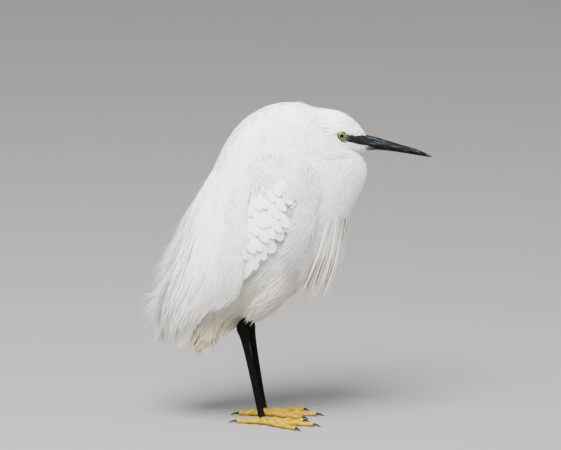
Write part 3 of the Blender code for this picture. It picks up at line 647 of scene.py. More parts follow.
@dataclass
class Coat:
    """Closed thin blades and vanes gathered for one piece of plumage."""

    name: str
    finish: Material
    slot: str = "white_plumage"
    round: float = 0.4
    points: list = field(default_factory=list)
    faces: list = field(default_factory=list)
    uv: list = field(default_factory=list)
    normals: list = field(default_factory=list)
    marks: dict = field(default_factory=lambda: {"along": [], "tint": [], "barb": []})
    count: int = 0

    def keep(self, points: Array, faces: Array, uv: Array, normals: Array, **marks: Array) -> None:
        """Add shapes, each with the same number of points.

        Args:
            points: (N, V, 3).
            faces: (F, 3) of one shape.
            uv: (N, V, 2).
            normals: (N, V, 3) directions that the shapes are shaded by.
            marks: (N, V) attribute values by name.
        """
        n, v, _ = points.shape
        starts = self.count + v * np.arange(n)
        self.points.append(points.reshape(-1, 3))
        self.normals.append(normals.reshape(-1, 3))
        self.faces.append((faces[None] + starts[:, None, None]).reshape(-1, 3))
        self.uv.append(uv.reshape(-1, 2))
        for mark, values in self.marks.items():
            values.append(np.broadcast_to(marks.get(mark, np.zeros((1, 1))), (n, v)).ravel())
        self.count += n * v

    def blades(self, spine: Array, up: Array, width: Array, thick: float, tint: Array, home: Array) -> None:
        """Add pointed blades with a ridge.

        Args:
            spine: (N, S, 3) points from root to tip.
            up: (N, S, 3) outward directions.
            width: (N, S-1) or (S-1,) half widths.
            thick: height of the ridge.
            tint: (N,) shade of each blade.
            home: (N, 2) place of each blade's patch on the UV map.
        """
        n, s, _ = spine.shape
        ahead = np.gradient(spine, axis=1)[:, :-1]
        side = unit(np.cross(ahead, up[:, :-1]))
        top = unit(np.cross(side, ahead))
        reach = side * np.broadcast_to(width, (n, s - 1))[..., None]
        rings = np.stack((spine[:, :-1] - reach, spine[:, :-1] + reach, spine[:, :-1] + top * thick), 2)
        points = np.concatenate((rings.reshape(n, -1, 3), spine[:, -1:]), 1)
        faces = [(0, 1, 2)]
        for k in range(s - 1):
            for a, b in ((0, 1), (1, 2), (2, 0)):
                a, b = a + 3 * k, b + 3 * k
                faces += [(b, a, 3 * (s - 1))] if k == s - 2 else [(b, a, a + 3), (b, a + 3, b + 3)]
        share = np.append(np.repeat(np.arange(s - 1), 3), s - 1) / (s - 1)
        local = np.stack((np.append(np.tile((0.0, 1.0, 0.5), s - 1), 0.5), share), -1) * PATCH
        soft = unit(0.75 * up[:, :-1] + 0.35 * top)
        fanned = self.round * side
        normals = unit(np.stack((soft - fanned, soft + fanned, soft), 2)).reshape(n, -1, 3)
        self.keep(points, np.array(faces), home[:, None] + local[None],
                  np.concatenate((normals, up[:, -1:]), 1), along=share[None], tint=tint[:, None])

    def tufts(self, surface: Surface, place: Array, angle: Array, rng: Random, *,
              blades: int, length: float | Array, width: float, lifts: tuple, splay: float = 14.0,
              turn: float | Array = 0.0, steps: int = 4, thick: float = 0.25, spread: float = 1.0,
              rough: float = 0.3, over: tuple = (), clear: tuple = (0.6, 1.8),
              rise: Array | None = None) -> None:
        """Lay a tuft of blades at each root.

        Args:
            surface: what they lie on.
            place: roots' places.
            angle: roots' angles.
            rng: the source of variation.
            blades: blades in a tuft.
            length: length in millimetres, one or one for each tuft.
            width: widest half width.
            lifts: heights over the surface from root to tip.
            splay: half the spread of directions in degrees.
            turn: direction away from the lie, in degrees towards higher angles.
            steps: points along a blade.
            thick: height of a blade's ridge.
            spread: how far roots of one tuft lie apart in millimetres.
            rough: unevenness of the lift at the tips.
            over: limbs that the blades are draped over.
            clear: least and greatest distance from those limbs.
            rise: (N, K) further heights of each tuft, evenly spaced from root to tip, or None.
        """
        n = len(place)
        if not n:
            return
        along, around = surface.scales(place, angle)
        fan = np.linspace(-1, 1, blades) if blades > 1 else np.zeros(1)
        fan = np.tile(fan, n) + rng.uniform(-0.35, 0.35, n * blades)
        rep = [np.repeat(np.broadcast_to(v, n), blades) for v in (place, angle, along, around, length, turn)]
        p, a, mm_p, mm_a, reach, bias = rep
        p = p + rng.normal(0, 0.5 * spread, n * blades) / mm_p
        a = a + (fan + rng.normal(0, 0.3, n * blades)) * spread / mm_a
        reach = reach * (1 - 0.12 * np.abs(fan)) * rng.uniform(0.82, 1.12, n * blades)
        way = np.radians(bias + fan * splay + rng.normal(0, 3, n * blades))
        bend = np.radians(rng.normal(0, 5, n * blades))
        s = np.linspace(0, 1, steps)[None]
        heading = way[:, None] + bend[:, None] * s
        forward, sideways = reach[:, None] * s * np.cos(heading), reach[:, None] * s * np.sin(heading)
        places, angles = p[:, None] - forward / mm_p[:, None], a[:, None] + sideways / mm_a[:, None]
        lift = np.interp(s, np.linspace(0, 1, len(lifts)), lifts)
        lift = lift + rng.uniform(-rough, rough, (n * blades, 1)) * s
        if rise is not None:
            spots = np.linspace(0, 1, rise.shape[1])
            lift = lift + np.repeat(np.stack([np.interp(s[0], spots, row) for row in rise]), blades, 0)
        shape = np.interp(np.linspace(0, 1, steps)[:-1], (0, 0.4, 0.75, 1), (0.65, 1, 0.85, 0.2))
        tint = np.repeat(rng.uniform(0, 1, n), blades) * 0.6 + rng.uniform(0, 0.4, n * blades)
        home = np.repeat(surface.home(place, angle), blades, 0)
        spine, up = surface.point(places, angles, lift), surface.normal(places, angles)
        for limb in over:
            spine, up = limb.drape(spine, up, rng.uniform(*clear, (n * blades, 1)))
        self.blades(spine, up, width * shape, thick, tint, home)

    def vane(self, surface: Surface, root: tuple, tip: tuple, lifts: tuple, half_width: float, roll: float,
             rng: Random, blunt: float = 0.72, root_share: float = 0.7) -> None:
        """Add one contour or flight feather: a cambered vane with a raised shaft and a soft edge.

        Args:
            surface: what it lies on.
            root: its root's (place, angle).
            tip: its tip's (place, angle).
            lifts: heights over the surface from root to tip.
            half_width: its widest half width in millimetres.
            roll: how much its +side edge is raised, in millimetres.
            rng: the source of variation.
            blunt: share of its length where the round tip starts.
            root_share: width at the root as a share of the widest.
        """
        round_tip = np.array((0.3, 0.55, 0.75, 0.9, 0.98, 1.0))
        t = np.concatenate((np.linspace(0, blunt, 6), blunt + (1 - blunt) * round_tip))
        u = np.array((-1.0, -0.68, -0.34, 0.0, 0.34, 0.68, 1.0))
        place, angle = root[0] + (tip[0] - root[0]) * t, root[1] + (tip[1] - root[1]) * t
        bow = rng.uniform(-1, 1)
        lift = blend_rows(np.array(lifts, float)[:, None], t * (len(lifts) - 1))[:, 0]
        centre, up = surface.point(place, angle, lift), surface.normal(place, angle)
        side = unit(np.cross(np.gradient(centre, axis=0), up))
        centre = centre + side * (bow * half_width * 0.12 * np.sin(np.pi * t))[:, None]
        rise = np.clip((t - blunt) / (1 - blunt), 0, 1)
        shape = np.interp(t, (0, 0.45, 1), (root_share, 1, 0.94)) * np.sqrt(1 - 0.985 * rise ** 2)
        ragged = 1 + rng.normal(0, 0.035, (len(t), len(u))) * np.abs(u)
        offset = half_width * shape[:, None] * u[None] * ragged
        top = (centre[:, None] + side[:, None] * offset[..., None]
               + up[:, None] * (roll * u[None] * shape[:, None] + 0.25 * np.exp(-(u / 0.15) ** 2)[None]
                                - offset ** 2 / 90)[..., None])
        under = top - up[:, None] * (0.14 + 0.2 * (1 - np.abs(u[None])))[..., None]
        rows, cols = top.shape[:2]
        points = np.concatenate((top.reshape(-1, 3), under.reshape(-1, 3)))
        share = np.tile(np.repeat(t, cols), 2)
        reach = np.linalg.norm(centre[-1] - centre[0])
        barb = np.tile((t[:, None] * reach * 0.8 + np.abs(offset) * 0.9).ravel(), 2)
        size = np.array((2 * half_width, reach)) / 1000 * 0.9
        local = np.stack((np.tile(np.tile((u + 1) / 2, rows), 2), share), -1) * size
        lean = side[:, None] * (offset / 45 - roll * 0.12)[..., None]
        facing = unit(np.cross(side, np.gradient(centre, axis=0)))[:, None] + lean
        inward = (facing * up[:, None]).sum(-1, keepdims=True) < 0
        facing = unit(np.where(inward, -facing, facing)).reshape(-1, 3)
        self.keep(points[None], sheet_faces(rows, cols), (surface.home(*tip) + local)[None],
                  np.concatenate((facing, -facing))[None],
                  along=(0.35 + 0.65 * share)[None], tint=np.full((1, 1), rng.uniform(0, 1)), barb=barb[None])

    def finish_piece(self, *replaced: str) -> Piece:
        """Write the piece, give it its finish and body, and hide the CAD nodes that it stands for.

        Args:
            replaced: CAD nodes that it stands for.

        Returns:
            The object.
        """
        marks = {mark: np.concatenate(values) for mark, values in self.marks.items()}
        piece = write_mesh(self.name, np.concatenate(self.points), np.concatenate(self.faces),
                           np.concatenate(self.uv), marks)
        piece.data.normals_split_custom_set_from_vertices(np.concatenate(self.normals))
        return dress(piece, self.finish, self.slot, *replaced)


def dress(piece: Piece, finish: Material, slot: str, *replaced: str) -> Piece:
    """Give a piece its finish and body, and hide the CAD nodes that it stands for.

    Args:
        piece: the finished object.
        finish: its material.
        slot: the record's material slot; not used.
        replaced: CAD nodes that it replaces.

    Returns:
        The same object.
    """
    piece.data.materials.clear()
    piece.data.materials.append(finish)
    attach(piece, "root")
    if replaced:
        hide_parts(*replaced)
    LOG.info("%s: %d triangles", piece.name, sum(len(face.vertices) - 2 for face in piece.data.polygons))
    return piece


def scatter(surface: Surface, places: tuple, angles: tuple, spacing: float,
            rng: Random) -> tuple[Array, Array]:
    """Spread roots evenly over part of a surface.

    Args:
        surface: the surface.
        places: lowest and highest place.
        angles: lowest and highest angle.
        spacing: millimetres between roots.
        rng: the source of variation.

    Returns:
        Places and angles of the roots.
    """
    grid_p, grid_a = np.meshgrid(np.linspace(*places, 24), np.linspace(*angles, 36))
    along, around = surface.scales(grid_p, grid_a)
    rows = int(math.ceil((places[1] - places[0]) * along.max() / spacing))
    columns = int(math.ceil((angles[1] - angles[0]) * around.max() / spacing))
    r, c = np.meshgrid(np.arange(rows), np.arange(columns), indexing="ij")
    r, c = r.ravel(), c.ravel() + 0.5 * (r.ravel() % 2)
    place = places[0] + (places[1] - places[0]) * (r + rng.uniform(0.15, 0.85, r.size)) / rows
    angle = angles[0] + (angles[1] - angles[0]) * (c + rng.uniform(-0.3, 0.3, r.size)) / columns
    here_p, here_a = surface.scales(place, angle)
    kept = rng.random(r.size) < here_p * here_a / (along.max() * around.max())
    return place[kept], angle[kept]


def tree_of(*nodes: str) -> BVHTree:
    """Gather some CAD nodes into one tree for ray tests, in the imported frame.

    Args:
        nodes: the nodes' names.

    Returns:
        The tree.
    """
    points, faces = [], []
    for name in nodes:
        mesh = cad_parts[name].data
        base = len(points)
        points += [v.co.copy() for v in mesh.vertices]
        faces += [[base + k for k in face.vertices] for face in mesh.polygons]
    return BVHTree.FromPolygons(points, faces)


def cover_depth(surface: Surface, place: Array, angle: Array, tree: BVHTree,
                lift: float = 0.0) -> Array:
    """How deep spots lie below something, in millimetres, 0 where nothing covers them.

    Args:
        surface: the surface of the spots.
        place: their places.
        angle: their angles.
        tree: what may cover them.
        lift: height of the test point over the surface.

    Returns:
        The depths.
    """
    points = (surface.point(place, angle, np.full(place.shape, lift)) + SHIFT) * MM
    ways = surface.normal(place, angle)
    depth = np.zeros(len(points))
    for k, (point, way) in enumerate(zip(points, ways)):
        distance = tree.ray_cast(Vector(point), Vector(way), 0.03)[3]
        depth[k] = (distance or 0.0) / MM
    return depth


def sheltered(surface: Surface, place: Array, angle: Array, tree: BVHTree, depth: float,
              lift: float = 0.0) -> Array:
    """Which roots lie more than a depth below something.

    Args:
        surface: the surface of the roots.
        place: their places.
        angle: their angles.
        tree: what may cover them.
        depth: the least distance that counts, in millimetres.
        lift: height of the test point over the surface.

    Returns:
        A mask.
    """
    return cover_depth(surface, place, angle, tree, lift) > depth


def settle_mesh(piece: Piece) -> Piece:
    """Replace a piece's mesh by what its modifiers make of it.

    Args:
        piece: the object.

    Returns:
        The same object without modifiers.
    """
    graph = bpy.context.evaluated_depsgraph_get()
    mesh = bpy.data.meshes.new_from_object(piece.evaluated_get(graph))
    piece.modifiers.clear()
    piece.data = mesh
    mesh.shade_smooth()
    return piece


def swept(rings: Array, bulge: float = 0.3) -> tuple[Array, Array]:
    """Closed sweep through rings, with a fan to a pole at each end.

    Args:
        rings: (R, K, 3).
        bulge: how far the poles stand out, as a share of the first and the last step.

    Returns:
        Points, the poles last, and faces.
    """
    rows, sides = rings.shape[:2]
    centres = rings.mean(1)
    first = centres[0] + (centres[0] - centres[1]) * bulge
    last = centres[-1] + (centres[-1] - centres[-2]) * bulge
    points = np.concatenate((rings.reshape(-1, 3), first[None], last[None]))
    here = np.arange(rows * sides).reshape(rows, sides)
    following = np.roll(here, -1, 1)
    a, b, c, d = here[:-1], following[:-1], following[1:], here[1:]
    wall = np.stack((a, b, c, a, c, d), -1).reshape(-1, 3)
    poles = np.full((2, sides), rows * sides) + ((0,), (1,))
    fans = np.stack((following[0], here[0], poles[0], here[-1], following[-1], poles[1]), -1).reshape(-1, 3)
    return points, np.concatenate((wall, fans))


def outward(piece: Piece) -> Piece:
    """Turn a closed piece's faces outwards.

    Args:
        piece: the object.

    Returns:
        The same object.
    """
    work = bmesh.new()
    work.from_mesh(piece.data)
    bmesh.ops.recalc_face_normals(work, faces=work.faces)
    work.to_mesh(piece.data)
    work.free()
    return piece


def tube_rings(path: Array, radii: Array, sides: int, flatten: float = 1.0) -> Array:
    """Rings of a round limb along a path.

    Args:
        path: (R, 3).
        radii: (R,) or (R, sides).
        sides: points in a ring.
        flatten: height of a ring as a share of its width.

    Returns:
        (R, sides, 3).
    """
    ahead = unit(np.gradient(path, axis=0))
    if abs(ahead[0][2]) > 0.6:
        side = unit(np.cross(ahead, np.cross((0.0, 1.0, 0.0), ahead)))
    else:
        side = unit(np.cross(ahead, UP))
    up = np.cross(side, ahead)
    turn = np.linspace(0, math.tau, sides, endpoint=False)
    radii = np.broadcast_to(np.asarray(radii, float).reshape(len(path), -1), (len(path), sides))
    return (path[:, None] + side[:, None] * (radii * np.cos(turn))[..., None]
            + up[:, None] * (radii * flatten * np.sin(turn))[..., None])


def fuse(name: str, shells: list, voxel: float, rounds: int, ground: float = -math.inf) -> Piece:
    """Join overlapping closed shells into one smooth skin.

    Args:
        name: the piece's name.
        shells: points and faces of each shell.
        voxel: cell size of the join, in millimetres.
        rounds: rounds of smoothing.
        ground: least height of a point, in millimetres.

    Returns:
        The piece.
    """
    counts = [len(points) for points, _ in shells]
    points = np.concatenate([points for points, _ in shells])
    faces = np.concatenate([faces + sum(counts[:k]) for k, (_, faces) in enumerate(shells)])
    points[:, 2] = np.maximum(points[:, 2], ground)
    piece = outward(write_mesh(name, points, faces))
    remesh = piece.modifiers.new("one_skin", "REMESH")
    remesh.mode = "VOXEL"
    remesh.voxel_size = voxel * MM
    smooth = piece.modifiers.new("smooth", "SMOOTH")
    smooth.iterations = rounds
    return settle_mesh(piece)


@dataclass
class Skin:
    """The bird's flesh under its coat, one closed skin inside the solids by the coat's depth."""

    trunk_depth: float = 3.2
    head_depth: float = 1.6
    thigh_depth: float = 3.0
    voxel: float = 2.4
    thigh: tuple = ((0.0, 10.7), (0.25, 18.5), (0.5, 19.5), (0.66, 15.2), (0.78, 9.8), (0.88, 5.3))
    flank: tuple = (
        (-0.3, 15.0), (0.0, 17.0), (0.25, 18.0), (0.5, 16.5), (0.66, 12.6), (0.78, 8.6), (0.88, 5.6))

    def thigh_limb(self, side: Side, coated: bool = False) -> Limb:
        """The thigh's surface, or the fuller one that its coat lies on."""
        return Limb(KNEE[side], HEEL[side], self.flank if coated else self.thigh)

    def build(self, finish: Material) -> Piece:
        """Make the skin.

        Args:
            finish: its material.

        Returns:
            The piece.
        """
        shells = []
        for hull, depth in ((TRUNK, self.trunk_depth), (HEAD, self.head_depth)):
            place, angle = np.meshgrid(
                np.linspace(0.02, hull.last - 0.05, 60), np.arange(0, 360, 9.0), indexing="ij")
            shells.append(swept(hull.point(place, angle, np.full(place.shape, -depth)), 0.5))
        for side in Side:
            limb = self.thigh_limb(side)
            place, angle = np.meshgrid(np.linspace(0.1, 1.0, 20), np.arange(0, 360, 15.0), indexing="ij")
            shells.append(swept(limb.point(place, angle, np.full(place.shape, -self.thigh_depth)), 0.3))
        for side in Side:
            place, turn = np.meshgrid(
                np.linspace(1.7, 6.0, 24), np.linspace(0, math.tau, 28, endpoint=False), indexing="ij")
            front, back = np.moveaxis(blend_rows(np.array(WING_EDGES, float), place), -1, 0)
            depth = np.minimum(1.0 + 4 * np.maximum(place - 1, 0), 12)
            angle = (front + back) / 2 + (back - front) * 0.46 * np.cos(turn)
            drop = -3.4 - depth * (1 + np.sin(turn)) / 2 - 6 * np.maximum(place - 5.4, 0) ** 2
            shells.append(swept(WRAP.point(place, side.sign * angle, drop), 0.3))
        return dress(fuse("skin", shells, self.voxel, 4), finish, "white_plumage", "torso", "neck", "head",
                     "thigh_right", "thigh_left")


def in_polygon(x: Array, z: Array, corners: tuple) -> Array:
    """Which points lie inside a polygon.

    Args:
        x: first coordinates.
        z: second coordinates.
        corners: the polygon's corners.

    Returns:
        A mask.
    """
    inside = np.zeros(np.shape(x), bool)
    for (x0, z0), (x1, z1) in zip(corners, (*corners[1:], corners[0])):
        crosses = (z0 > z) != (z1 > z)
        edge = x0 + (z - z0) * (x1 - x0) / (z1 - z0 if z1 != z0 else 1e-9)
        inside ^= crosses & (x < edge)
    return inside


@dataclass
class HeadCoat:
    """Short silky tufts of the head, smallest round the bill, none on the lores and the eyes."""

    finish: Material
    # Side view (x, z) of the bare lores and the bill's base, and how near the eye's centre tufts come.
    bare: tuple = (
        (84.5, 318.4), (88.4, 315.4), (98.8, 314.9), (103, 313.4), (106, 311.6), (122, 308.2), (124, 323.4),
        (114, 323.2), (107, 323.6), (99, 324.2), (92.5, 326.8), (89, 329.4), (84, 328.6))
    eye_gap: float = 5.3
    spacing: float = 2.27

    def climb(self, place: Array, angle: Array, length: Array | float, tree: BVHTree) -> Array:
        """How far tufts have to rise from root to tip to lie over the neck behind the head.

        Args:
            place: roots' places.
            angle: roots' angles.
            length: their lengths.
            tree: the neck.

        Returns:
            (N, 4) heights.
        """
        reach = length / HEAD.scales(place, angle)[0]
        steps = [cover_depth(HEAD, place - reach * share, angle, tree) for share in (0, 1 / 3, 2 / 3, 1)]
        return np.minimum(np.stack(steps, -1), 7.0)

    def build(self) -> Piece:
        """Make the head's coat.

        Returns:
            The piece.
        """
        rng = np.random.default_rng(SEED)
        coat = Coat("head_feathers", self.finish)
        place, angle = scatter(HEAD, (0.25, 7.12), (-180, 180), self.spacing, rng)
        neck = tree_of("neck", "torso")
        inside = sheltered(HEAD, place, angle, neck, 4.0, -0.2)
        place, angle = place[~inside], angle[~inside]
        away = HEAD.scales(place, angle)[0]
        length = np.interp(place, (0.3, 1.5, 4.0, 5.6, 6.6, 7.1), (19.0, 16.0, 10.5, 6.5, 4.0, 2.4))
        root = HEAD.skin(place, angle)
        tip = HEAD.skin(place - length / away, angle)
        clear = np.ones(len(place), bool)
        for share in (0.0, 0.35, 0.7, 1.0):
            spot = root + (tip - root) * share
            off_side = np.abs(spot[:, 1]) > 4
            clear &= ~(off_side & in_polygon(spot[:, 0], spot[:, 2], self.bare))
            clear &= ~(off_side & (np.hypot(spot[:, 0] - EYE[0] - 0.3, spot[:, 2] - EYE[2]) < self.eye_gap))
        place, angle, length = place[clear], angle[clear], length[clear]
        for low, high, steps, width in ((0, 4.6, 4, 0.58), (4.6, 9, 3, 0.42)):
            part = (place >= low) & (place < high)
            spots = (place[part], angle[part])
            coat.tufts(HEAD, *spots, rng, blades=5, length=length[part], width=width,
                       lifts=(-1.7, -0.45, -0.05, 0.12), splay=7, steps=steps, thick=0.1, spread=0.9,
                       rough=0.07, turn=np.sign(spots[1]) * -6, rise=self.climb(*spots, length[part], neck))
        place, angle = scatter(HEAD, (0.5, 3.6), (50, 310), 3.1, rng)
        shown = ~sheltered(HEAD, place, angle, neck, 2.0)
        place, angle = place[shown], angle[shown]
        coat.tufts(
            HEAD, place, angle, rng, blades=6, length=20, width=0.45, lifts=(-1.3, -0.1, 0.4, 0.6), splay=6,
            steps=5, thick=0.08, spread=1.2, rough=0.3, rise=self.climb(place, angle, 20.0, neck))
        return coat.finish_piece()


@dataclass
class BodyCoat:
    """Tufts of the neck, mantle, breast and belly, longer and looser lower down."""

    clean: Material
    strands: Material
    belly: Material
    flesh: Skin

    def drift(self, angle: Array) -> Array:
        """How far the lie turns back from straight down, most on the sides of the neck."""
        return np.sign(angle) * np.interp(np.abs(angle), (0, 40, 85, 130, 180), (0, 7, 17, 8, 0))

    def roots(self, places: tuple, angles: tuple, spacing: float, rng: Random,
              tree: BVHTree, depth: float = 2.5, cheek: bool = False) -> tuple[Array, Array]:
        """Roots on both sides of the trunk, apart from those deep under the wings or the head.

        Args:
            places: lowest and highest place.
            angles: lowest and highest angle on the left; the right mirrors it.
            spacing: millimetres between roots.
            rng: the source of variation.
            tree: what covers them.
            depth: how deep under it, in millimetres, a root is left out.
            cheek: whether the roots are those of the cheek or all others.

        Returns:
            Places and angles.
        """
        found = [scatter(TRUNK, places, angles, spacing, rng) for _ in Side]
        place = np.concatenate([pair[0] for pair in found])
        angle = np.concatenate((found[0][1], -found[1][1]))
        root = TRUNK.skin(place, angle)
        on_cheek = in_polygon(root[:, 0], root[:, 2] - (0 if cheek else 2.4), CHEEK)
        kept = ~sheltered(TRUNK, place, angle, tree, depth, -0.5) & (on_cheek == cheek)
        return place[kept], angle[kept]

    def build(self) -> list[Piece]:
        """Make the coat's pieces.

        Returns:
            The pieces.
        """
        rng = np.random.default_rng(SEED + 1)
        cover = tree_of("wing_right", "wing_left", "head")
        made = []
        for name, places, angles, tips, spacing, length in (
                ("neck_feathers", (5.0, 8.6), (0, 78), (0, 50), 3.8, (26, 20, 14)),
                ("nape_feathers", (4.7, 8.6), (78, 180), (160, 180), 4.7, (38, 28, 15))):
            coat = Coat(name, self.clean)
            place, angle = self.roots(places, angles, spacing, rng, cover)
            reach = np.interp(place, (5, 7, 8.5), length)
            coat.tufts(TRUNK, place, angle, rng, blades=2, length=reach * 0.8, width=2.0,
                       lifts=(-3.3, -1.8, -1.0, -0.5), splay=9, turn=self.drift(angle), steps=3, thick=0.1,
                       spread=1.9)
            coat.tufts(
                TRUNK, place, angle, rng, blades=6, length=reach, width=0.68, lifts=(-3.0, -0.9, -0.15, 0.15),
                splay=5, turn=self.drift(angle), steps=4, thick=0.12, spread=1.7, rough=0.12)
            place, angle = self.roots((4.6, 7.4), tips, 6.5, rng, cover)
            coat.tufts(TRUNK, place, angle, rng, blades=4, length=reach.min(), width=0.4,
                       lifts=(-2.5, -0.5, 0.2, 1.2), splay=7, turn=self.drift(angle), steps=5, thick=0.1,
                       spread=1.6, rough=0.7)
            place, angle = self.roots((7.3, 9.0), angles, 2.9, rng, tree_of("head"), 9.0)
            coat.tufts(TRUNK, place, angle, rng, blades=5, length=17, width=0.5, lifts=(-2.4, -0.8, 0.1, 0.3),
                       splay=6, turn=self.drift(angle), steps=4, thick=0.12, spread=1.5, rough=0.15)
            made.append(coat.finish_piece())
        face = Coat("cheek_feathers", self.clean)
        place, angle = self.roots((6.4, 9.0), (20, 150), 2.3, rng, tree_of("head"), 2.0, True)
        face.tufts(TRUNK, place, angle, rng, blades=5, length=np.interp(place, (7, 9), (16, 12)), width=0.45,
                   lifts=(-2.4, -0.7, 0.0, 0.2), splay=6, turn=np.sign(angle) * 54, steps=4, thick=0.08,
                   spread=1.2, rough=0.25)
        made.append(face.finish_piece())
        breast = Coat("breast_feathers", self.strands)
        place, angle = self.roots((2.7, 5.2), (0, 98), 4.2, rng, cover)
        breast.tufts(TRUNK, place, angle, rng, blades=2, length=24, width=2.0, lifts=(-3.3, -1.8, -1.0, -0.5),
                     splay=9, turn=self.drift(angle), steps=3, thick=0.1, spread=2.2)
        breast.tufts(TRUNK, place, angle, rng, blades=6, length=28, width=0.62, lifts=(-3.0, -0.9, 0.0, 0.4),
                     splay=6, turn=self.drift(angle), steps=4, thick=0.13, spread=2.0, rough=0.35)
        made.append(breast.finish_piece())
        belly = Coat("belly_feathers", self.belly, round=0.9)
        thighs = tuple(self.flesh.thigh_limb(side, True) for side in Side)
        place, angle = self.roots((0.1, 3.2), (0, 104), 4.6, rng, cover)
        belly.tufts(
            TRUNK, place, angle, rng, blades=6, length=40, width=0.55, lifts=(-3.3, -0.7, 0.6, 1.8), splay=9,
            turn=np.sign(angle) * 12, steps=5, thick=0.14, spread=2.4, rough=1.6, over=thighs)
        place, angle = self.roots((0.0, 4.4), (104, 180), 6.0, rng, cover)
        belly.tufts(TRUNK, place, angle, rng, blades=5, length=26, width=0.8, lifts=(-3.3, -0.8, 0.2, 0.8),
                    splay=12, steps=4, thick=0.16, spread=2.2, rough=0.6)
        made.append(belly.finish_piece())
        loose = Coat("loose_belly_feathers", self.belly, round=0.9)
        place, angle = self.roots((0.2, 3.0), (0, 98), 9.5, rng, cover)
        loose.tufts(
            TRUNK, place, angle, rng, blades=7, length=32, width=0.34, lifts=(-2.5, 0.2, 1.6, 4.0), splay=10,
            turn=np.sign(angle) * 14, steps=6, thick=0.12, spread=2.6, rough=2.4, over=thighs)
        place, angle = self.roots((1.0, 3.3), (30, 104), 6.0, rng, cover)
        loose.tufts(TRUNK, place, angle, rng, blades=7, length=50, width=0.46, lifts=(-3.0, 0.6, 2.0, 3.0),
                    splay=9, turn=np.sign(angle) * 6, steps=6, thick=0.12, spread=2.4, rough=1.6, over=thighs,
                    clear=(1.2, 4.0))
        made.append(loose.finish_piece())
        return made


@dataclass
class ThighCoat:
    """Soft tufts of the thighs down to the heels."""

    finish: Material
    skin: Skin

    def build(self) -> list[Piece]:
        """Make both thighs' coats.

        Returns:
            The pieces.
        """
        made = []
        for k, side in enumerate(Side):
            rng = np.random.default_rng(SEED + 20 + k)
            limb = self.skin.thigh_limb(side, True)
            coat = Coat("thigh_feathers_" + side, self.finish, round=0.9)
            place, angle = scatter(limb, (0.3, 0.85), (-180, 180), 3.8, rng)
            length = np.interp(place, (0.3, 0.45, 0.8), (9, 17, 32))
            coat.tufts(limb, place, angle, rng, blades=6, length=length, width=0.5,
                       lifts=(-3.4, -1.0, 0.3, 1.5), splay=10, steps=4, thick=0.13, spread=2.4, rough=1.6)
            place, angle = scatter(limb, (0.42, 1.1), (-180, 180), 8.5, rng)
            coat.tufts(limb, place, angle, rng, blades=7, length=24, width=0.34, lifts=(-2.5, 0.2, 2.0, 5.0),
                       splay=12, steps=5, thick=0.12, spread=2.6, rough=2.4)
            made.append(coat.finish_piece())
        return made


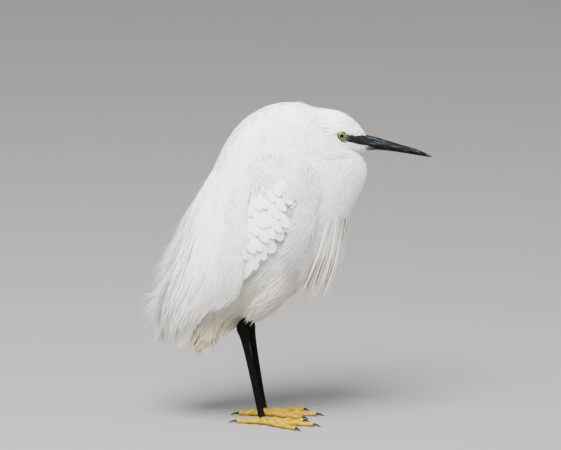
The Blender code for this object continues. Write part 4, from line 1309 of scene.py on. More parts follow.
@dataclass
class WingCoat:
    """Folded wings: rows of coverts that point down and forward, then the flight feathers."""

    finish: Material
    soft_finish: Material
    # First tip (place, angle), step to the next, way from a tip to its root, count, half width, rise.
    rows: tuple = (
        ((6.1, 79), (-0.2, 4.4), (0.5, 27), 7, 4.7, 2.3),
        ((5.56, 76.5), (-0.21, 3.7), (0.55, 33), 8, 5.3, 2.7),
        ((4.98, 74.5), (-0.2, 3.0), (0.6, 36), 9, 5.9, 3.0),
        ((4.84, 70), (-0.3, 2.4), (0.7, 36), 8, 8.0, 1.2))
    lifts: tuple = (-2.4, 0.3)
    secondaries: int = 14

    def rim_drop(self, spot: tuple) -> float:
        """How far the wing falls towards its rim.

        Args:
            spot: (place, angle).

        Returns:
            The fall in millimetres.
        """
        front, back = blend_rows(np.array(WING_EDGES, float), np.array(spot[0]))
        share = (spot[1] - front) / (back - front)
        return 3.2 * (1 - min(3 * max(min(share, 1 - share), 0), 1)) ** 2

    def feather(self, coat: Coat, sign: int, root: tuple, tip: tuple, lifts: tuple, half_width: float,
                roll: float, rng: Random, **shape: float) -> None:
        """Add one feather of a wing.

        Args:
            coat: the piece.
            sign: -1 on the right, 1 on the left.
            root: root's (place, angle).
            tip: tip's (place, angle).
            lifts: heights from root to tip.
            half_width: widest half width.
            roll: raise of one edge.
            rng: the source of variation.
            shape: further settings of the vane.
        """
        first, last = self.rim_drop(root), self.rim_drop(tip)
        steps = [lift - first + (first - last) * i / (len(lifts) - 1) for i, lift in enumerate(lifts)]
        coat.vane(WRAP, (root[0], sign * root[1]), (tip[0], sign * tip[1]), tuple(steps), half_width,
                  sign * roll, rng, **shape)

    def build(self) -> list[Piece]:
        """Make both wings.

        Returns:
            The pieces.
        """
        made = []
        edges = np.array(WING_EDGES, float)
        for k, side in enumerate(Side):
            sign = side.sign
            rng = np.random.default_rng(SEED + 30 + k)
            coat = Coat("wing_feathers_" + side, self.finish)
            for i in range(self.secondaries):
                share = i / (self.secondaries - 1)
                end = 3.4 * (1 - share) ** 1.1 - 0.1
                start = max(end + 1.4, 2.2)
                front, back = blend_rows(edges, np.array(start))
                low, high = blend_rows(edges, np.array(end))
                root = (start, front + (back - front) * (0.24 + 0.42 * share))
                tip = (end, low + (high - low) * (0.13 + 0.5 * share ** 5))
                self.feather(coat, sign, root, tip, (-2.8, -0.6, 0.2 - 0.5 * share), 8.5 - 2 * share, 0.7,
                             rng, blunt=0.86)
            for first, step, way, count, half_width, rise in reversed(self.rows):
                for i in range(count):
                    tip = (first[0] + step[0] * i + rng.normal(0, 0.03),
                           first[1] + step[1] * i + rng.normal(0, 0.5))
                    root = (tip[0] + way[0], tip[1] + way[1])
                    self.feather(coat, sign, root, tip, (*self.lifts, rise),
                                 half_width * rng.uniform(0.94, 1.06), 0.65, rng)
            made.append(coat.finish_piece("wing_" + side))
            shoulder = Coat("shoulder_feathers_" + side, self.soft_finish)
            place, angle = scatter(WRAP, (4.7, 7.15), (50, 128), 3.3, rng)
            inner = (angle < 65 + 6 * np.clip(place - 5.4, 0, 2)) | (place > 6.3 - 0.01 * (angle - 76))
            place, angle = place[inner], angle[inner]
            turn = np.interp(angle, (50, 70, 84, 100, 118, 128), (14, 16, -30, -44, -20, -4))
            for part, lifts in ((angle <= 98, (-5.0, -1.2, 1.4, 2.7)), (angle > 98, (-5.0, -2.0, -0.2, 1.0))):
                shoulder.tufts(
                    WRAP, place[part], sign * angle[part], rng, blades=6, length=26, width=0.5, lifts=lifts,
                    splay=7, turn=sign * turn[part], steps=4, thick=0.12, spread=1.8, rough=0.4)
            made.append(shoulder.finish_piece())
        return made


@dataclass
class BackPlumes:
    """Long loose-barbed plumes from the mantle over both wings, in tiers of locks."""

    finish: Material
    locks_laid: int = 210
    loose_locks: int = 170

    def fan(self, share: Array, run: Array) -> tuple[Array, Array]:
        """Place and angle at a share across the bird and a share of the way from mantle to tips.

        Args:
            share: -1 on the right to 1 on the left.
            run: 0 at the mantle, 1 at the tips.

        Returns:
            Places and angles on the wings' surface.
        """
        root = 6.6 - 0.3 * np.abs(share)
        tip = 1.7 * np.minimum(np.abs(share), 1.05) ** 1.8 - 0.1
        low = np.clip((run - 0.15) / 0.85, 0, 1)
        return root + (tip - root) * run, 180 + share * (60 + 37 * low ** 2 * (3 - 2 * low))

    def locks(self, coat: Coat, share: Array, start: Array, stop: Array, flare: Array,
              rng: Random, width: float, filaments: int, breadth: float, pinch: float,
              drift: Array | float = 0.0) -> None:
        """Lay locks of filaments that draw together towards their tips.

        Args:
            coat: the piece.
            share: each lock's share across the bird.
            start: share of the run where it starts.
            stop: share of the run where it ends.
            flare: how far its tip stands off, in millimetres.
            rng: the source of variation.
            width: half width of a filament.
            filaments: filaments in a lock.
            breadth: half the lock's breadth at its root, in shares across.
            pinch: breadth at its tip as a share of that at its root.
            drift: how far each lock's tip lies from its root across the bird, in shares.
        """
        steps = 6
        n = len(share)
        s = np.linspace(0, 1, steps)[None]
        total = n * filaments
        off = rng.uniform(-1, 1, total) * breadth
        centre = np.repeat(share, filaments)
        begin = np.repeat(start, filaments) + rng.uniform(-0.06, 0.1, total)
        end = np.repeat(stop, filaments) - np.abs(rng.normal(0, 0.06, total))
        across = centre[:, None] + off[:, None] * (1 + (pinch - 1) * s ** 1.5)
        across = across + rng.normal(0, 0.007, total)[:, None] * np.sin(s * np.pi * 1.3)
        across = across + np.repeat(np.broadcast_to(drift, n), filaments)[:, None] * s ** 1.3
        run = begin[:, None] + (end - begin)[:, None] * s
        place, angle = self.fan(across, run)
        sheet = np.interp(run, (-0.15, 0.0, 0.12, 0.35, 1.0), (-3.0, -0.6, 1.4, 3.2, 3.6))
        sheet = sheet - 1.6 * np.clip((np.abs(across) - 0.75) / 0.3, 0, 1)
        lift = (sheet - 2.2 * (1 - s) ** 2 + 0.5 * s + np.repeat(flare, filaments)[:, None] * s ** 2.2
                * rng.uniform(0.6, 1.2, (total, 1)) + rng.uniform(-0.25, 0.3, (total, 1)))
        shape = np.interp(np.linspace(0, 1, steps)[:-1], (0, 0.3, 0.7, 1), (0.6, 1, 0.8, 0.2))
        tint = np.repeat(rng.uniform(0, 1, n), filaments) * 0.5 + rng.uniform(0, 0.5, total)
        coat.blades(WRAP.point(place, angle, lift), WRAP.normal(place, angle), width * shape, width * 0.3,
                    tint, WRAP.home(place[:, 0], angle[:, 0]))

    def build(self) -> list[Piece]:
        """Make the plumes.

        Returns:
            The pieces.
        """
        rng = np.random.default_rng(SEED + 40)
        made = []
        for name, width, filaments in (("back_plumes_under", 0.9, 16), ("back_plumes", 0.5, 22)):
            coat = Coat(name, self.finish)
            count = self.locks_laid
            order = np.arange(count)
            share = 2.0 * (order * GOLDEN % 1) - 1.0
            share = share * (1 + np.abs(share) ** 6 * rng.uniform(-0.2, 0.12, count))
            start = -0.1 + 0.84 * (order + rng.random(count)) / count
            stop = np.minimum(start + rng.uniform(0.34, 0.5, count), 1.0 + rng.uniform(-0.04, 0.05, count))
            flare = (np.clip((stop - 0.65) / 0.35, 0, 1) * (16 - 15.5 * np.minimum(np.abs(share), 1) ** 0.6)
                     * rng.uniform(0.2, 1, count))
            self.locks(coat, share, start, stop, flare, rng, width, filaments, 0.075, 0.5)
            made.append(coat.finish_piece())
        loose = Coat("loose_plumes", self.finish)
        count = self.loose_locks
        share = rng.normal(0, 0.25, count)
        start = rng.uniform(0.22, 0.74, count)
        stop = np.minimum(start + rng.uniform(0.18, 0.34, count), 1.03)
        flare = (rng.uniform(5, 24, count) * (1 - 0.8 * np.abs(share))
                 * np.clip((stop - 0.35) / 0.4, 0.15, 1.3))
        self.locks(loose, share, start, stop, flare, rng, 0.34, 8, 0.014, 0.8)
        way = rng.choice((-1, 1), count)
        start = rng.uniform(-0.02, 0.5, count)
        stop = np.minimum(start + rng.uniform(0.3, 0.46, count), 0.98)
        self.locks(loose, way * rng.uniform(0.8, 1.0, count), start, stop, np.full(count, 1.6), rng, 0.38, 12,
                   0.05, 0.7, way * rng.uniform(0.02, 0.2, count))
        made.append(loose.finish_piece())
        return made


@dataclass
class BreastPlumes:
    """Narrow lance-shaped plumes that hang from the lower neck, with warm shaded barbs between them."""

    finish: Material
    warm_finish: Material
    count: int = 46
    fine: int = 150
    barbs: int = 420

    def hang(self, coat: Coat, share: Array, rng: Random, width: float, thick: float,
             depth: float = 0.0) -> None:
        """Lay plumes at shares across the breast.

        Args:
            coat: the piece.
            share: -1 on the right to 1 on the left.
            rng: the source of variation.
            width: widest half width.
            thick: height of the ridge.
            depth: change of all heights, in millimetres.
        """
        n, steps = len(share), 9
        s = np.linspace(0, 1, steps)[None]
        root = 3.6 - 0.9 * rng.random(n)
        end = np.interp(np.abs(share), (0, 0.15, 0.3, 0.85, 1), (1.4, 1.2, 0.0, -0.1, 0.9))
        end = end - rng.uniform(-1.0, 0.4, n)
        place = root[:, None] + (end - root)[:, None] * s
        angle = (82 * share)[:, None] + (18 * share + rng.normal(0, 7, n))[:, None] * s ** 1.3
        layer = rng.uniform(-2.0, 1.2, n) + depth
        lifts = np.stack((np.full(n, -6.5), layer - 0.8, layer + 1.4, layer + 2.2, layer + 2.8), -1)
        lift = np.stack([np.interp(s[0], np.linspace(0, 1, 5), row) for row in lifts])
        shape = np.interp(np.linspace(0, 1, steps)[:-1], (0, 0.35, 0.7, 1), (0.7, 1, 0.75, 0.15))
        widths = width * rng.uniform(0.5, 1.3, n)[:, None] * shape[None]
        coat.blades(BIB.point(place, angle, lift), BIB.normal(place, angle), widths, thick,
                    rng.uniform(0, 0.5, n), BIB.home(place[:, 0], angle[:, 0]))

    def build(self) -> list[Piece]:
        """Make the plumes.

        Returns:
            The pieces.
        """
        rng = np.random.default_rng(SEED + 50)
        coat = Coat("breast_plumes", self.finish)
        self.hang(coat, np.linspace(-1, 1, self.count) + rng.normal(0, 0.015, self.count), rng, 1.7, 0.4)
        self.hang(coat, rng.uniform(-1, 1, self.fine), rng, 0.45, 0.2)
        under = Coat("breast_barbs", self.warm_finish)
        self.hang(under, rng.uniform(-0.95, 0.95, self.barbs), rng, 0.6, 0.2, -1.2)
        return [coat.finish_piece(), under.finish_piece()]


@dataclass
class TailCoat:
    """Tail feathers in a fan, and the soft locks under them behind the legs."""

    finish: Material
    root: tuple = (-45, 0, 134)
    ahead: tuple = (-0.4316, 0, -0.9021)
    count: int = 12
    length: float = 56
    fringe_rows: int = 8
    fringe_locks: int = 11
    fringe_tufts: int = 12
    # Root x and z, tip x and z, root and tip spread of the first, second, third and last row.
    fringe_lines: tuple = (
        (-58, -40, -22, -14), (142, 136, 124, 120), (-77, -66, -41, -31), (92, 86, 101, 107), (20, 17, 10, 8),
        (27, 24, 12, 9))

    def build(self) -> list[Piece]:
        """Make the tail and the under-tail locks.

        Returns:
            The pieces.
        """
        rng = np.random.default_rng(SEED + 60)
        coat = Coat("tail_feathers", self.finish, "stained_plumage")
        ahead = unit(np.array(self.ahead))
        up = np.cross(ahead, (0.0, 1.0, 0.0))
        for i, share in enumerate(np.linspace(-1, 1, self.count)):
            start = np.array(self.root) + np.array((0, 9 * share, 0)) - ahead * 10
            stop = np.array(self.root) + ahead * (self.length - 5 * share ** 2) + np.array((0, 21 * share, 0))
            blade = Plate(start, stop, unit(up + np.array((0, 2.2 * share, 0))))
            lifts = (0.0, 0.4 * (i % 2) - 1.5 * share ** 2, 0.7 * (i % 2) - 3 * share ** 2)
            coat.vane(blade, (1.0, 0.0), (0.0, 0.0), lifts, 5.4, 0.5 * float(np.sign(share)), rng, blunt=0.8,
                      root_share=0.55)
            for lift in (-0.6, 0.5):
                place = rng.uniform(0.1, 0.95, 26)
                coat.tufts(blade, place, np.zeros(26), rng, blades=4, length=15, width=0.5,
                           lifts=(lift, lift * 1.4 - 1.5 * share ** 2), splay=10, steps=4, thick=0.14,
                           spread=3.2, rough=0.6)
        made = [coat.finish_piece("tail")]
        under = Coat("under_tail_feathers", self.finish, "stained_plumage")
        for row in np.linspace(-1, 1.5, self.fringe_rows):
            line = [np.interp(row, (-1, 0, 1, 1.5), column) for column in self.fringe_lines]
            hang = np.array(((line[0], 0, line[1]), (line[2], 0, line[3])))
            root_spread, tip_spread = line[4:]
            for share in np.linspace(-1, 1, self.fringe_locks) + rng.normal(0, 0.03, self.fringe_locks):
                start = hang[0] + np.array((0, root_spread * share, 0))
                stop = hang[1] + np.array((6 * abs(share) + rng.normal(0, 2), tip_spread * share,
                                           7 * abs(share) + rng.uniform(-3, 4)))
                lean = share if abs(share) > 0.35 else math.copysign(0.35, share)
                lock = Plate(start, stop, unit(np.array((0.3, 1.6 * lean, 0.2))))
                reach = float(np.linalg.norm(stop - start))
                spots = rng.uniform(0.3, 1.15, self.fringe_tufts)
                under.tufts(
                    lock, spots, np.zeros(self.fringe_tufts), rng, blades=4, length=reach * 0.5, width=0.45,
                    lifts=(-0.6, 1.2, 0.9, 0.2), splay=7, steps=4, thick=0.1, spread=3.0, rough=1.2)
        made.append(under.finish_piece())
        return made


@dataclass
class Face:
    """Eyes with lids, and the bare lores and gape between them and the bill."""

    iris: Material
    lid_skin: Material
    bare_skin: Material
    gape_skin: Material
    # Upper and lower edge of each bare patch, as (x, z) points of the side view.
    lores_edges: tuple = (
        ((88.5, 327.6), (92, 325.9), (98.5, 323.4), (106, 322.5), (111.5, 321.9), (117, 318.2)),
        ((86.0, 317.8), (90, 315.7), (99, 315.2), (104, 313.2), (110, 311.6), (118, 310.2)))
    gape_edges: tuple = (
        ((101.5, 312.6), (106, 312.0), (112, 311.4), (120, 310.2)),
        ((101.5, 311.4), (106, 309.6), (112, 308.4), (120, 308.2)))

    def eye_axes(self, side: Side) -> tuple[Array, Array, Array, Array]:
        """Where an eye is and how it is turned.

        Args:
            side: the eye's side.

        Returns:
            Its centre, the way it looks and two directions square to that.
        """
        centre = np.array((EYE[0], side.sign * EYE[1], EYE[2]))
        ahead = unit(np.array((0.12, side.sign, 0.05)))
        across = unit(np.cross(ahead, UP))
        return centre, ahead, across, np.cross(ahead, across)

    def eyeball(self, side: Side) -> Piece:
        """One eyeball with a raised cornea.

        Args:
            side: the eye's side.

        Returns:
            The piece.
        """
        centre, ahead, across, other = self.eye_axes(side)
        tilt = np.radians(np.concatenate((np.linspace(3, 60, 26), np.linspace(68, 172, 12))))
        tilt, turn = np.meshgrid(tilt, np.linspace(0, math.tau, 48, endpoint=False), indexing="ij")
        away = EYE_RADIUS * np.sin(tilt)
        bulge = 0.35 * np.clip(1 - (away / 3.8) ** 2, 0, 1)
        radius = EYE_RADIUS - 0.15 + bulge * (np.cos(tilt) > 0)
        rings = (centre + ahead * (radius * np.cos(tilt))[..., None]
                 + (across * np.cos(turn)[..., None] + other * np.sin(turn)[..., None])
                 * (radius * np.sin(tilt))[..., None])
        points, faces = swept(rings, 0.0)
        points[-2] = centre + ahead * (EYE_RADIUS + 0.2)
        ring = np.append((away / 6 + (np.cos(tilt) < 0)).ravel(), (0.0, 1.0))
        piece = outward(write_mesh("eyeball_" + side, points, faces, None, {"ring": np.clip(ring, 0, 1)}))
        return dress(piece, self.iris, "iris", "eye_" + side)

    def lid(self, side: Side) -> Piece:
        """Both lids of one eye, as one puckered rim.

        Args:
            side: the eye's side.

        Returns:
            The piece.
        """
        centre, ahead, across, other = self.eye_axes(side)
        turn, roll = np.meshgrid(np.linspace(0, math.tau, 64, endpoint=False),
                                 np.linspace(0, math.tau, 14, endpoint=False), indexing="ij")
        pucker = 1 + 0.12 * np.sin(turn * 16) * (np.sin(roll) > -0.2)
        wide = (0.75 + 0.1 * np.abs(np.sin(turn))) * pucker
        radial = 4.0 + wide * np.cos(roll)
        rings = (centre + ahead * 3.1
                 + (across * np.cos(turn)[..., None] + other * np.sin(turn)[..., None]) * radial[..., None]
                 + ahead * (0.9 * np.sin(roll) + 0.1)[..., None])
        points = rings.reshape(-1, 3)
        a = np.arange(turn.size).reshape(turn.shape)
        b, d = np.roll(a, -1, 1), np.roll(a, -1, 0)
        c = np.roll(b, -1, 0)
        faces = np.concatenate([np.stack(corners, -1).reshape(-1, 3) for corners in ((a, b, c), (a, c, d))])
        forward = (points[:, 0] - EYE[0] - 0.8 * (points[:, 2] - EYE[2])) / 6
        piece = outward(write_mesh("eyelids_" + side, points, faces, None, {"fade": np.clip(forward, 0, 1)}))
        return dress(piece, self.lid_skin, "bill_horn")

    def patch(self, name: str, side: Side, edges: tuple, finish: Material, lift: float, fade: tuple) -> Piece:
        """A closed patch of bare skin laid on the side of the head.

        Args:
            name: the start of the piece's name.
            side: its side.
            edges: (x, z) points of its upper and its lower edge.
            finish: its material.
            lift: height over the head's surface.
            fade: x where its colour starts to change and where it ends.

        Returns:
            The piece.
        """
        sign = side.sign
        place, angle = np.meshgrid(np.linspace(0.5, 7.3, 90), np.arange(0, 181, 3.0) * sign, indexing="ij")
        index = np.arange(place.size).reshape(place.shape)
        quads = np.stack((index[:-1, :-1], index[:-1, 1:], index[1:, 1:], index[1:, :-1]), -1).reshape(-1, 4)
        head = BVHTree.FromPolygons(HEAD.skin(place, angle).reshape(-1, 3).tolist(), quads.tolist())
        columns, rows = 42, 16
        u, v = np.linspace(0, 1, columns), np.linspace(0, 1, rows)
        upper, lower = (blend_rows(np.array(edge, float), u * (len(edge) - 1)) for edge in edges)
        flat = upper[:, None] + (lower - upper)[:, None] * v[None, :, None]
        front = np.empty((columns, rows, 3))
        for i, k in np.ndindex(columns, rows):
            x, z = flat[i, k]
            hit = head.ray_cast(Vector((x, sign * 60, z)), Vector((0, -sign, 0)))[0]
            front[i, k] = (x, sign * (abs(hit[1]) if hit is not None else 5.0), z)
        edge = np.minimum(np.minimum(v, 1 - v)[None] * 8, 1.0)
        front[..., 1] += sign * (lift - 0.9 * (1 - edge) ** 2)
        back = front.copy()
        back[..., 1] -= sign * 2.2
        points = np.concatenate((front.reshape(-1, 3), back.reshape(-1, 3)))
        values = np.clip((points[:, 0] - fade[0]) / (fade[1] - fade[0]), 0, 1)
        piece = write_mesh(name + side, points, sheet_faces(columns, rows), None, {"fade": values})
        return dress(outward(piece), finish, "bill_horn")

    def build(self) -> list[Piece]:
        """Make both sides of the face.

        Returns:
            The pieces.
        """
        made = []
        for side in Side:
            made += [self.eyeball(side), self.lid(side),
                     self.patch("lores_", side, self.lores_edges, self.bare_skin, -0.35, (86.5, 107)),
                     self.patch("gape_", side, self.gape_edges, self.gape_skin, -0.2, (104, 122))]
        return made


@dataclass
class Bill:
    """Both halves of the bill, with the ridge, nasal groove, nostrils and cutting edges."""

    finishes: dict[Half, Material]
    rings: int = 110
    sides: int = 40

    def half(self, half: Half) -> Piece:
        """One half of the bill.

        Args:
            half: which half.

        Returns:
            The piece.
        """
        upper = half is Half.UPPER
        rows = np.array(BILL_ROWS, float)
        share = np.linspace(0, 1, self.rings) ** 0.95
        x, culmen, mouth, gonys, wide = blend_rows(rows, share * (len(rows) - 1)).T
        turn = np.linspace(0, math.tau, self.sides, endpoint=False)
        cosine, sine = np.cos(turn)[None], np.sin(turn)[None]
        height = (culmen - mouth if upper else mouth - gonys)[:, None] - 0.15
        squash = np.sign(sine) * np.abs(sine) ** (0.9 if upper else 1.0)
        rise = np.where(sine > 0, squash, 0.06 * sine)
        narrow = np.where(sine > 0, 1 - 0.3 * np.clip(sine, 0, 1) ** 3, 1.0)
        y = wide[:, None] * cosine * narrow * (1.0 if upper else 0.88)
        z = height * rise
        if upper:
            groove = np.exp(-((x - 126) / 17) ** 2)[:, None] * np.exp(-((rise - 0.52) / 0.13) ** 2)
            slit = (np.clip(1 - np.abs((x - 124) / 4.6) ** 4, 0, 1)[:, None]
                    * np.exp(-((rise - 0.55) / 0.07) ** 2))
            edge = np.exp(-((rise - 0.06) / 0.08) ** 2) * np.clip((x - 112) / 10, 0, 1)[:, None]
            y = y * (1 - 0.16 * groove) * (1 - 0.22 * slit) * (1 + 0.05 * edge)
        level = (mouth[:, None] + 0.07 + z) if upper else (mouth[:, None] - 0.07 - z)
        points, faces = swept(np.stack((np.repeat(x[:, None], self.sides, 1), y, level), -1), 0.4)
        piece = outward(write_mesh(half + "_horn", points, faces))
        return dress(piece, self.finishes[half], "bill_horn", half.value)

    def build(self) -> list[Piece]:
        """Make the bill."""
        return [self.half(half) for half in Half]


@dataclass
class Scutes:
    """Horny plates instanced by Geometry Nodes along a leg or a toe."""

    size: float = 1.0
    unevenness: float = 0.08
    seed: int = 3

    def tree(self, material: Material) -> tuple[bpy.types.NodeTree, dict]:
        """Build the node tree that turns points into pillow-shaped plates.

        Args:
            material: the plates' finish.

        Returns:
            The tree and the identifiers of its inputs by name.
        """
        tree = bpy.data.node_groups.new("plates", "GeometryNodeTree")
        add = partial(add_node, tree)
        face = tree.interface
        face.new_socket("Geometry", in_out="INPUT", socket_type="NodeSocketGeometry")
        sizes = {name: face.new_socket(name, in_out="INPUT", socket_type="NodeSocketFloat").identifier
                 for name in ("Plate size", "Unevenness")}
        face.new_socket("Geometry", in_out="OUTPUT", socket_type="NodeSocketGeometry")
        start, end = add("NodeGroupInput"), add("NodeGroupOutput")
        cube = add("GeometryNodeMeshCube", {"Size": (1.0, 1.0, 1.0), "Vertices X": 2})
        pillow = add("GeometryNodeSubdivisionSurface", {"Mesh": cube, "Level": 1})
        outwards, across, extent = (
            add("GeometryNodeInputNamedAttribute", {"Name": name}, data_type="FLOAT_VECTOR")
            for name in ("outward", "across", "extent"))
        turned = add("FunctionNodeAxesToRotation", {0: outwards, 1: across}, primary_axis="Z",
                     secondary_axis="X")
        chance = add("FunctionNodeRandomValue", {"Seed": self.seed}, data_type="FLOAT").outputs[1]
        span = add("ShaderNodeMath", {0: chance, 1: start.outputs["Unevenness"], 2: 1.0},
                   operation="MULTIPLY_ADD")
        whole = add("ShaderNodeMath", {0: span, 1: start.outputs["Plate size"]}, operation="MULTIPLY")
        scale = add("ShaderNodeVectorMath", {0: extent, "Scale": whole}, operation="SCALE")
        placed = add("GeometryNodeInstanceOnPoints",
                     {"Points": start, "Instance": pillow, "Rotation": turned, "Scale": scale})
        real = add("GeometryNodeRealizeInstances", {0: placed})
        dressed = add("GeometryNodeSetMaterial", {0: real, "Material": material})
        feed(end, {0: dressed})
        return tree, sizes

    def build(self, name: str, plates: list, material: Material, slot: str) -> Piece:
        """Make one piece of plates.

        Args:
            name: the piece's name.
            plates: each plate's centre, outward direction, direction of its width, and (width, length,
                thickness), in millimetres.
            material: their finish.
            slot: the record's slot.

        Returns:
            The piece.
        """
        spots, outwards, across, extent = (np.array(column, float) for column in zip(*plates))
        mesh = bpy.data.meshes.new(name)
        mesh.from_pydata([Vector(p) for p in (spots + SHIFT) * MM], [], [])
        for mark, values in (("outward", outwards), ("across", across), ("extent", extent * MM)):
            layer = mesh.attributes.new(mark, "FLOAT_VECTOR", "POINT")
            layer.data.foreach_set("vector", values.astype(np.float32).ravel())
        piece = bpy.data.objects.new(name, mesh)
        bpy.context.scene.collection.objects.link(piece)
        change = piece.modifiers.new("plates", "NODES")
        change.node_group, sizes = self.tree(material)
        change[sizes["Plate size"]] = self.size
        change[sizes["Unevenness"]] = self.unevenness
        return dress(settle_mesh(piece), material, slot)


@dataclass
class Leg:
    """Shank with its joint and plates, and the foot with its toes, pads and claws."""

    leg_finish: Material
    foot_finish: Material
    claw_finish: Material
    scutes: Scutes
    # Share of the way down and radius of the shin under the thigh's feathers, and of the bare shank.
    shin: tuple = ((0.66, 3.8), (0.85, 4.2))
    bare: tuple = ((0.0, 5.8), (0.06, 5.6), (0.14, 4.4), (0.3, 3.6), (0.6, 3.3), (0.85, 3.3), (1.0, 3.6))
    # Rows of plates: turn from the front, spacing and height.
    plate_rows: tuple = (
        (0, 3.0, 0.72), (180, 2.4, 0.5), (62, 1.9, 0.4), (-62, 1.9, 0.4), (120, 1.9, 0.35), (-120, 1.9, 0.35))
    # Toes: name, turn from the foot's heading, length, claw length.
    toes: tuple = (("middle", 0, 58, 9), ("outer", 27, 48, 8), ("inner", -20, 46, 8), ("hallux", 178, 27, 10))
    heading: tuple = ((Side.RIGHT, -12), (Side.LEFT, -2))

    def shank(self, side: Side) -> list[Piece]:
        """Bare leg from the thigh's feathers to the ankle, and its plates.

        Args:
            side: the leg's side.

        Returns:
            The pieces.
        """
        knee, heel, ankle = (np.array(joint[side], float) for joint in (KNEE, HEEL, ANKLE))
        table = np.array([(*(start + (stop - start) * share), radius)
                          for start, stop, line in ((knee, heel, self.shin), (heel, ankle, self.bare))
                          for share, radius in line])
        run = np.linspace(0, len(table) - 1, 150)
        values = blend_rows(table, run)
        points, faces = swept(tube_rings(values[:, :3], values[:, 3], 28), 0.3)
        piece = outward(write_mesh("shank_skin_" + side, points, faces))
        made = [dress(piece, self.leg_finish, "leg_skin", "shank_" + side)]
        line = values[run > 0.6]
        length = np.append(0, np.cumsum(np.linalg.norm(np.diff(line[:, :3], axis=0), axis=1)))
        plates = []
        for turn, pitch, high in self.plate_rows:
            for at in np.arange(1.0 + 0.4 * (turn != 0), length[-1] - 1, pitch):
                *centre, radius = [np.interp(at, length, line[:, k]) for k in range(4)]
                ahead = unit(np.array([np.interp(at + 1, length, line[:, k]) for k in range(3)]) - centre)
                side_way = unit(np.cross(ahead, (1.0, 0.0, 0.0)))
                front = np.cross(side_way, ahead)
                way = math.radians(turn + (at * 7 % 1 - 0.5) * 6)
                out = front * math.cos(way) + side_way * math.sin(way)
                wide = radius * (1.35 if turn in (0, 180) else 0.95)
                plates.append((centre + out * (radius - 0.12), out, np.cross(ahead, out),
                               (wide, pitch * 1.22, high * 1.5)))
        made.append(self.scutes.build("shank_plates_" + side, plates, self.leg_finish, "leg_skin"))
        return made

    def toe(self, base: Array, ahead: Array, across: Array, length: float, joints: int) -> tuple[Array, list]:
        """Rings and plates of one toe, with a pad under each joint.

        Args:
            base: the foot's centre on the ground.
            ahead: the toe's direction.
            across: level direction across it.
            length: its length.
            joints: how many pads it has.

        Returns:
            Its rings and its plates.
        """
        share = np.linspace(0, 1, 60)
        swell = 1 + 0.2 * np.cos(math.tau * share * joints)
        half = 4.0 * (1 - 0.4 * share) * swell
        high = 3.2 * (1.15 - 0.45 * share) * swell
        wave = 0.5 * np.sin(math.tau * share * joints * 0.5)
        centre = base + ahead * (length * share)[:, None] + across * wave[:, None] + UP * high[:, None]
        turns = np.linspace(0, math.tau, 20, endpoint=False)
        rings = (centre[:, None] + across * (half[:, None] * np.cos(turns))[..., None]
                 + UP * (high[:, None] * np.sin(turns))[..., None])
        plates = []
        for at in np.arange(3.0 + joints, length - 1.5, 2.5):
            k = at / length
            spot = [np.interp(k, share, centre[:, j]) for j in range(3)]
            spot[2] += np.interp(k, share, high) - 0.35
            plates.append((spot, UP, across, (np.interp(k, share, half) * 1.55, 3.0, 1.3)))
        return rings, plates

    def foot(self, side: Side) -> list[Piece]:
        """Foot and toes as one skin, their plates, and the claws.

        Args:
            side: the leg's side.

        Returns:
            The pieces.
        """
        ankle = np.array(ANKLE[side], float)
        base = ankle * (1, 1, 0)
        up = unit(np.array(HEEL[side], float) - ankle)
        path = np.array((base + UP * 1.8, base + UP * 5.5, ankle, ankle + up * 6, ankle + up * 11))
        column = tube_rings(path, np.array((5.2, 5.6, 4.3, 3.6, 3.3)), 20)
        shells, plates, claws = [swept(column, 0.3)], [], []
        for name, turn, length, claw in self.toes:
            way = math.radians(dict(self.heading)[side] + side.sign * turn)
            ahead = np.array((math.cos(way), math.sin(way), 0.0))
            across = np.array((-ahead[1], ahead[0], 0.0))
            rings, toe_plates = self.toe(base, ahead, across, length, 2 if name == "hallux" else 3)
            shells.append(swept(rings, 0.6))
            plates += toe_plates
            claws.append(self.claw("%s_%s" % (name, side), base, ahead, length - 2, claw + 2))
        piece = fuse("foot_skin_" + side, shells, 0.55, 3, 0.25)
        nodes = ["foot_" + side] + ["toe_%s_%s" % (toe[0], side) for toe in self.toes]
        return [dress(piece, self.foot_finish, "foot_skin", *nodes),
                self.scutes.build("toe_plates_" + side, plates, self.foot_finish, "foot_skin"), *claws]

    def claw(self, name: str, base: Array, ahead: Array, start: float, length: float) -> Piece:
        """One curved claw.

        Args:
            name: its toe and side.
            base: the foot's centre on the ground.
            ahead: the toe's direction.
            start: how far from there the claw starts.
            length: its length.

        Returns:
            The piece.
        """
        share = np.linspace(0, 1, 24)
        rise = 2.1 + 1.3 * np.sin(np.pi * np.minimum(share * 1.1, 1)) - 1.6 * share
        path = base + ahead * (start + length * share)[:, None] + UP * rise[:, None]
        radii = np.interp(share, (0, 0.2, 0.5, 0.8, 1), (1.5, 1.45, 1.15, 0.7, 0.22))
        points, faces = swept(tube_rings(path, radii, 16), 0.4)
        points[:, 2] = np.maximum(points[:, 2], 0.02)
        piece = outward(write_mesh("claw_horn_" + name, points, faces))
        return dress(piece, self.claw_finish, "claw_horn", "claw_" + name)

    def build(self) -> list[Piece]:
        """Make both legs."""
        return [piece for side in Side for piece in self.shank(side) + self.foot(side)]


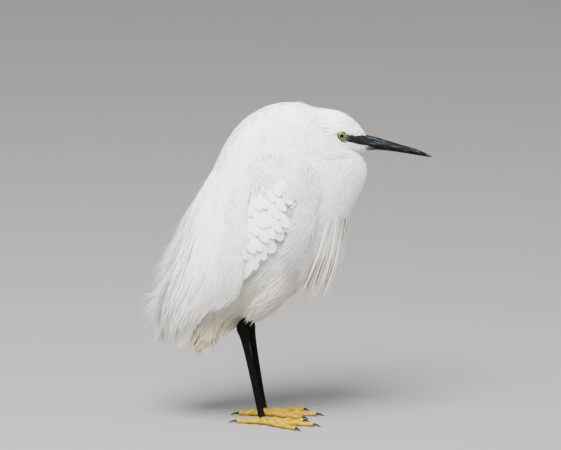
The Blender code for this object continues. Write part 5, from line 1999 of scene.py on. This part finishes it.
@dataclass
class Studio:
    """Plain pale floor, soft overcast light and the photograph's distant camera."""

    aim: tuple = (20.35, 0.0, 220.4)
    elevation: float = 12.0
    distance: float = 8.0
    focal: float = 466.8
    floor_reach: float = 6.0

    def light(self, name: str, place: tuple, size: float, power: float, colour: str) -> None:
        """Add one area light aimed at the bird.

        Args:
            name: the light's name.
            place: where it hangs, in metres.
            size: its side in metres.
            power: watts.
            colour: hex colour.
        """
        lamp = bpy.data.lights.new(name, "AREA")
        lamp.energy = power
        lamp.size = size
        lamp.color = hex_to_linear(colour)[:3]
        holder = bpy.data.objects.new(name, lamp)
        holder.location = place
        holder.rotation_euler = (Vector((0, 0, 0.2)) - Vector(place)).to_track_quat("-Z", "Y").to_euler()
        bpy.context.scene.collection.objects.link(holder)

    def build(self) -> None:
        """Make the floor, the lights and the camera."""
        mesh = bpy.data.meshes.new("floor")
        reach = self.floor_reach
        mesh.from_pydata([(-reach, -reach, 0), (reach, -reach, 0), (reach, reach, 0), (-reach, reach, 0)], [],
                         [(0, 1, 2, 3)])
        floor = bpy.data.objects.new("floor", mesh)
        bpy.context.scene.collection.objects.link(floor)
        mesh.materials.append(new_material("pale studio floor", Roughness=0.9, Base_Color="#7F7D79")[0])
        world = bpy.data.worlds.new("overcast")
        world.use_nodes = True
        feed(world.node_tree.nodes["Background"], {"Color": "#D5DAE0", "Strength": 1.25})
        bpy.context.scene.world = world
        self.light("sky_softbox", (-0.5, -1.2, 2.3), 1.4, 290, "#FFFDF9")
        self.light("front_fill", (1.8, -1.6, 0.9), 1.4, 20, "#F2F5FF")
        lens = bpy.data.cameras.new("photograph")
        lens.lens = self.focal
        lens.sensor_width = 36
        lens.clip_end = 50
        camera = bpy.data.objects.new("photograph", lens)
        tilt = math.radians(self.elevation)
        aim = (Vector(self.aim) + Vector(SHIFT)) * MM
        camera.location = aim + Vector((0, -math.cos(tilt), math.sin(tilt))) * self.distance
        camera.rotation_euler = (aim - camera.location).to_track_quat("-Z", "Y").to_euler()
        bpy.context.scene.collection.objects.link(camera)
        bpy.context.scene.camera = camera


def main() -> None:
    """Build every sub-assembly in order."""
    logging.basicConfig(level=logging.INFO, format="%(name)s %(message)s")
    # Contour feathers scatter light in many fine barbs: bright, matt and only faintly cool in the shade.
    clean = PlumageFinish("white contour feathers").build()
    # Longer strands part from one another, so more shade shows between them.
    strands = PlumageFinish(
        "white strands of shoulder and breast", shade="#CFD3D4", stain_and_shade="#DDD3BF", stain_and_shade_band=StainAndShade.BREAST,
        variety=0.5, painted_root_shade=0.9).build()
    # Loose barbs let light through: the brightest white, with grey between the locks.
    plumes = PlumageFinish(
        "white loose-barbed plumes", lit="#FAFAFA", shade="#D6DADD", stain_and_shade_band=StainAndShade.PLUMES,
        variety=0.45).build()
    # Barbs under the breast plumes hang in warm shade.
    warm = PlumageFinish("warm shaded breast barbs", lit="#D2C8AE", shade="#A89A7A").build()
    # Belly down and tail feathers brush mud and weed, which leaves them cream to buff; lower down, painted
    # shade darkens them too.
    belly = PlumageFinish(
        "belly down with mud and painted shade", lit="#F6F4EF", shade="#BDB8AC", stain_and_shade="#D3C8B0", stain_and_shade_band=StainAndShade.BELLY,
        variety=0.9, painted_root_shade=1.0).build()
    tail = PlumageFinish("tail feathers with mud and painted shade", lit="#F1EBDC", shade="#C9BA98", stain_and_shade="#BCA87C",
                         stain_and_shade_band=StainAndShade.TAIL, variety=0.6, painted_root_shade=1.1, barb_pitch=1.4).build()
    # Vanes are smooth sheets. Their barbs are about 0.4 mm apart in life, drawn at 1.3 mm so that they show.
    vanes = PlumageFinish("white wing vanes", stain_and_shade_band=StainAndShade.WINGS, barb_pitch=1.3).build()
    # Down under the coat only gives the gaps between tufts a soft grey-white.
    down = PlumageFinish("white down on the skin", lit="#E6E5E1", shade="#D5D3CE").build()
    # Bill horn is nearly black and satin, with painted bluish highlights in streaks; the lower half is
    # flesh-coloured at its base.
    horns = {
        Half.UPPER: HornFinish("black bill horn with a painted blue highlight", base="#08090A", base_end=0.096).build(),
        Half.LOWER: HornFinish("lower bill horn", base="#8A7771", base_end=0.098).build()}
    claw = HornFinish("dark claw horn", deep="#15110E", painted_highlight="#54473A").build()
    # The wet cornea gives the iris a small clear highlight over pale yellow and a black pupil.
    iris = FadeFinish("wet pale yellow iris", "ring",
                      ((0.0, "#010101"), (0.39, "#020202"), (0.415, "#6E6A26"), (0.46, "#BDB650"),
                       (0.5, "#9C953C"), (0.53, "#1C1B12"), (0.68, "#080807")),
                      roughness=0.25, coat=0.08, pebble=0.0).build()
    # Bare skin is pebbled and waxy: yellow before the eye, then a painted grey-blue highlight, then black up
    # to the bill.
    bare = FadeFinish("bare skin of the lores", "fade",
                      ((0.0, "#0B0B0A"), (0.1, "#0B0B0A"), (0.16, "#7E7B33"), (0.27, "#5C6240"),
                       (0.38, "#2E393F"), (0.52, "#0C0E10"), (0.9, "#060708")),
                      roughness=0.5, coat=0.1, pebble=0.0011, ragged=0.35).build()
    lids = FadeFinish(
        "dark eyelid skin, yellow in front", "fade",
        ((0.0, "#070706"), (0.3, "#0A0A08"), (0.5, "#8E8A35"), (1.0, "#77752F")), roughness=0.5, coat=0.1,
        pebble=0.0011, ragged=0.1).build()
    gape = FadeFinish("pinkish gape skin", "fade", ((0.0, "#C9B7AE"), (0.5, "#A8918A"), (1.0, "#3A3636")),
                      roughness=0.45, coat=0.2, pebble=0.0012).build()
    # Leg skin is horny and dry: black plates with a dull sheen, and yellow toes with patches of mud and
    # painted shade in their creases.
    leg_skin = ScaledSkinFinish(
        "black scaled leg skin", plate="#050505", painted_crease_shade="#010101", mud="#1D1813", mud_share=0.08,
        gloss=0.08).build()
    foot_skin = ScaledSkinFinish(
        "yellow scaled foot skin", plate="#CFA800", painted_crease_shade="#7E5A00", mud="#5E3A14", mud_share=0.4, gloss=0.1,
        upper="#050505", turn_low=0.0108, turn_high=0.0128).build()
    skin = Skin()
    skin.build(down)
    HeadCoat(clean).build()
    BodyCoat(clean, strands, belly, skin).build()
    ThighCoat(belly, skin).build()
    WingCoat(vanes, strands).build()
    BackPlumes(plumes).build()
    BreastPlumes(plumes, warm).build()
    TailCoat(tail).build()
    Face(iris, lids, bare, gape).build()
    Bill(horns).build()
    Leg(leg_skin, foot_skin, claw, Scutes()).build()
    Studio().build()


if __name__ == "__main__":
    main()
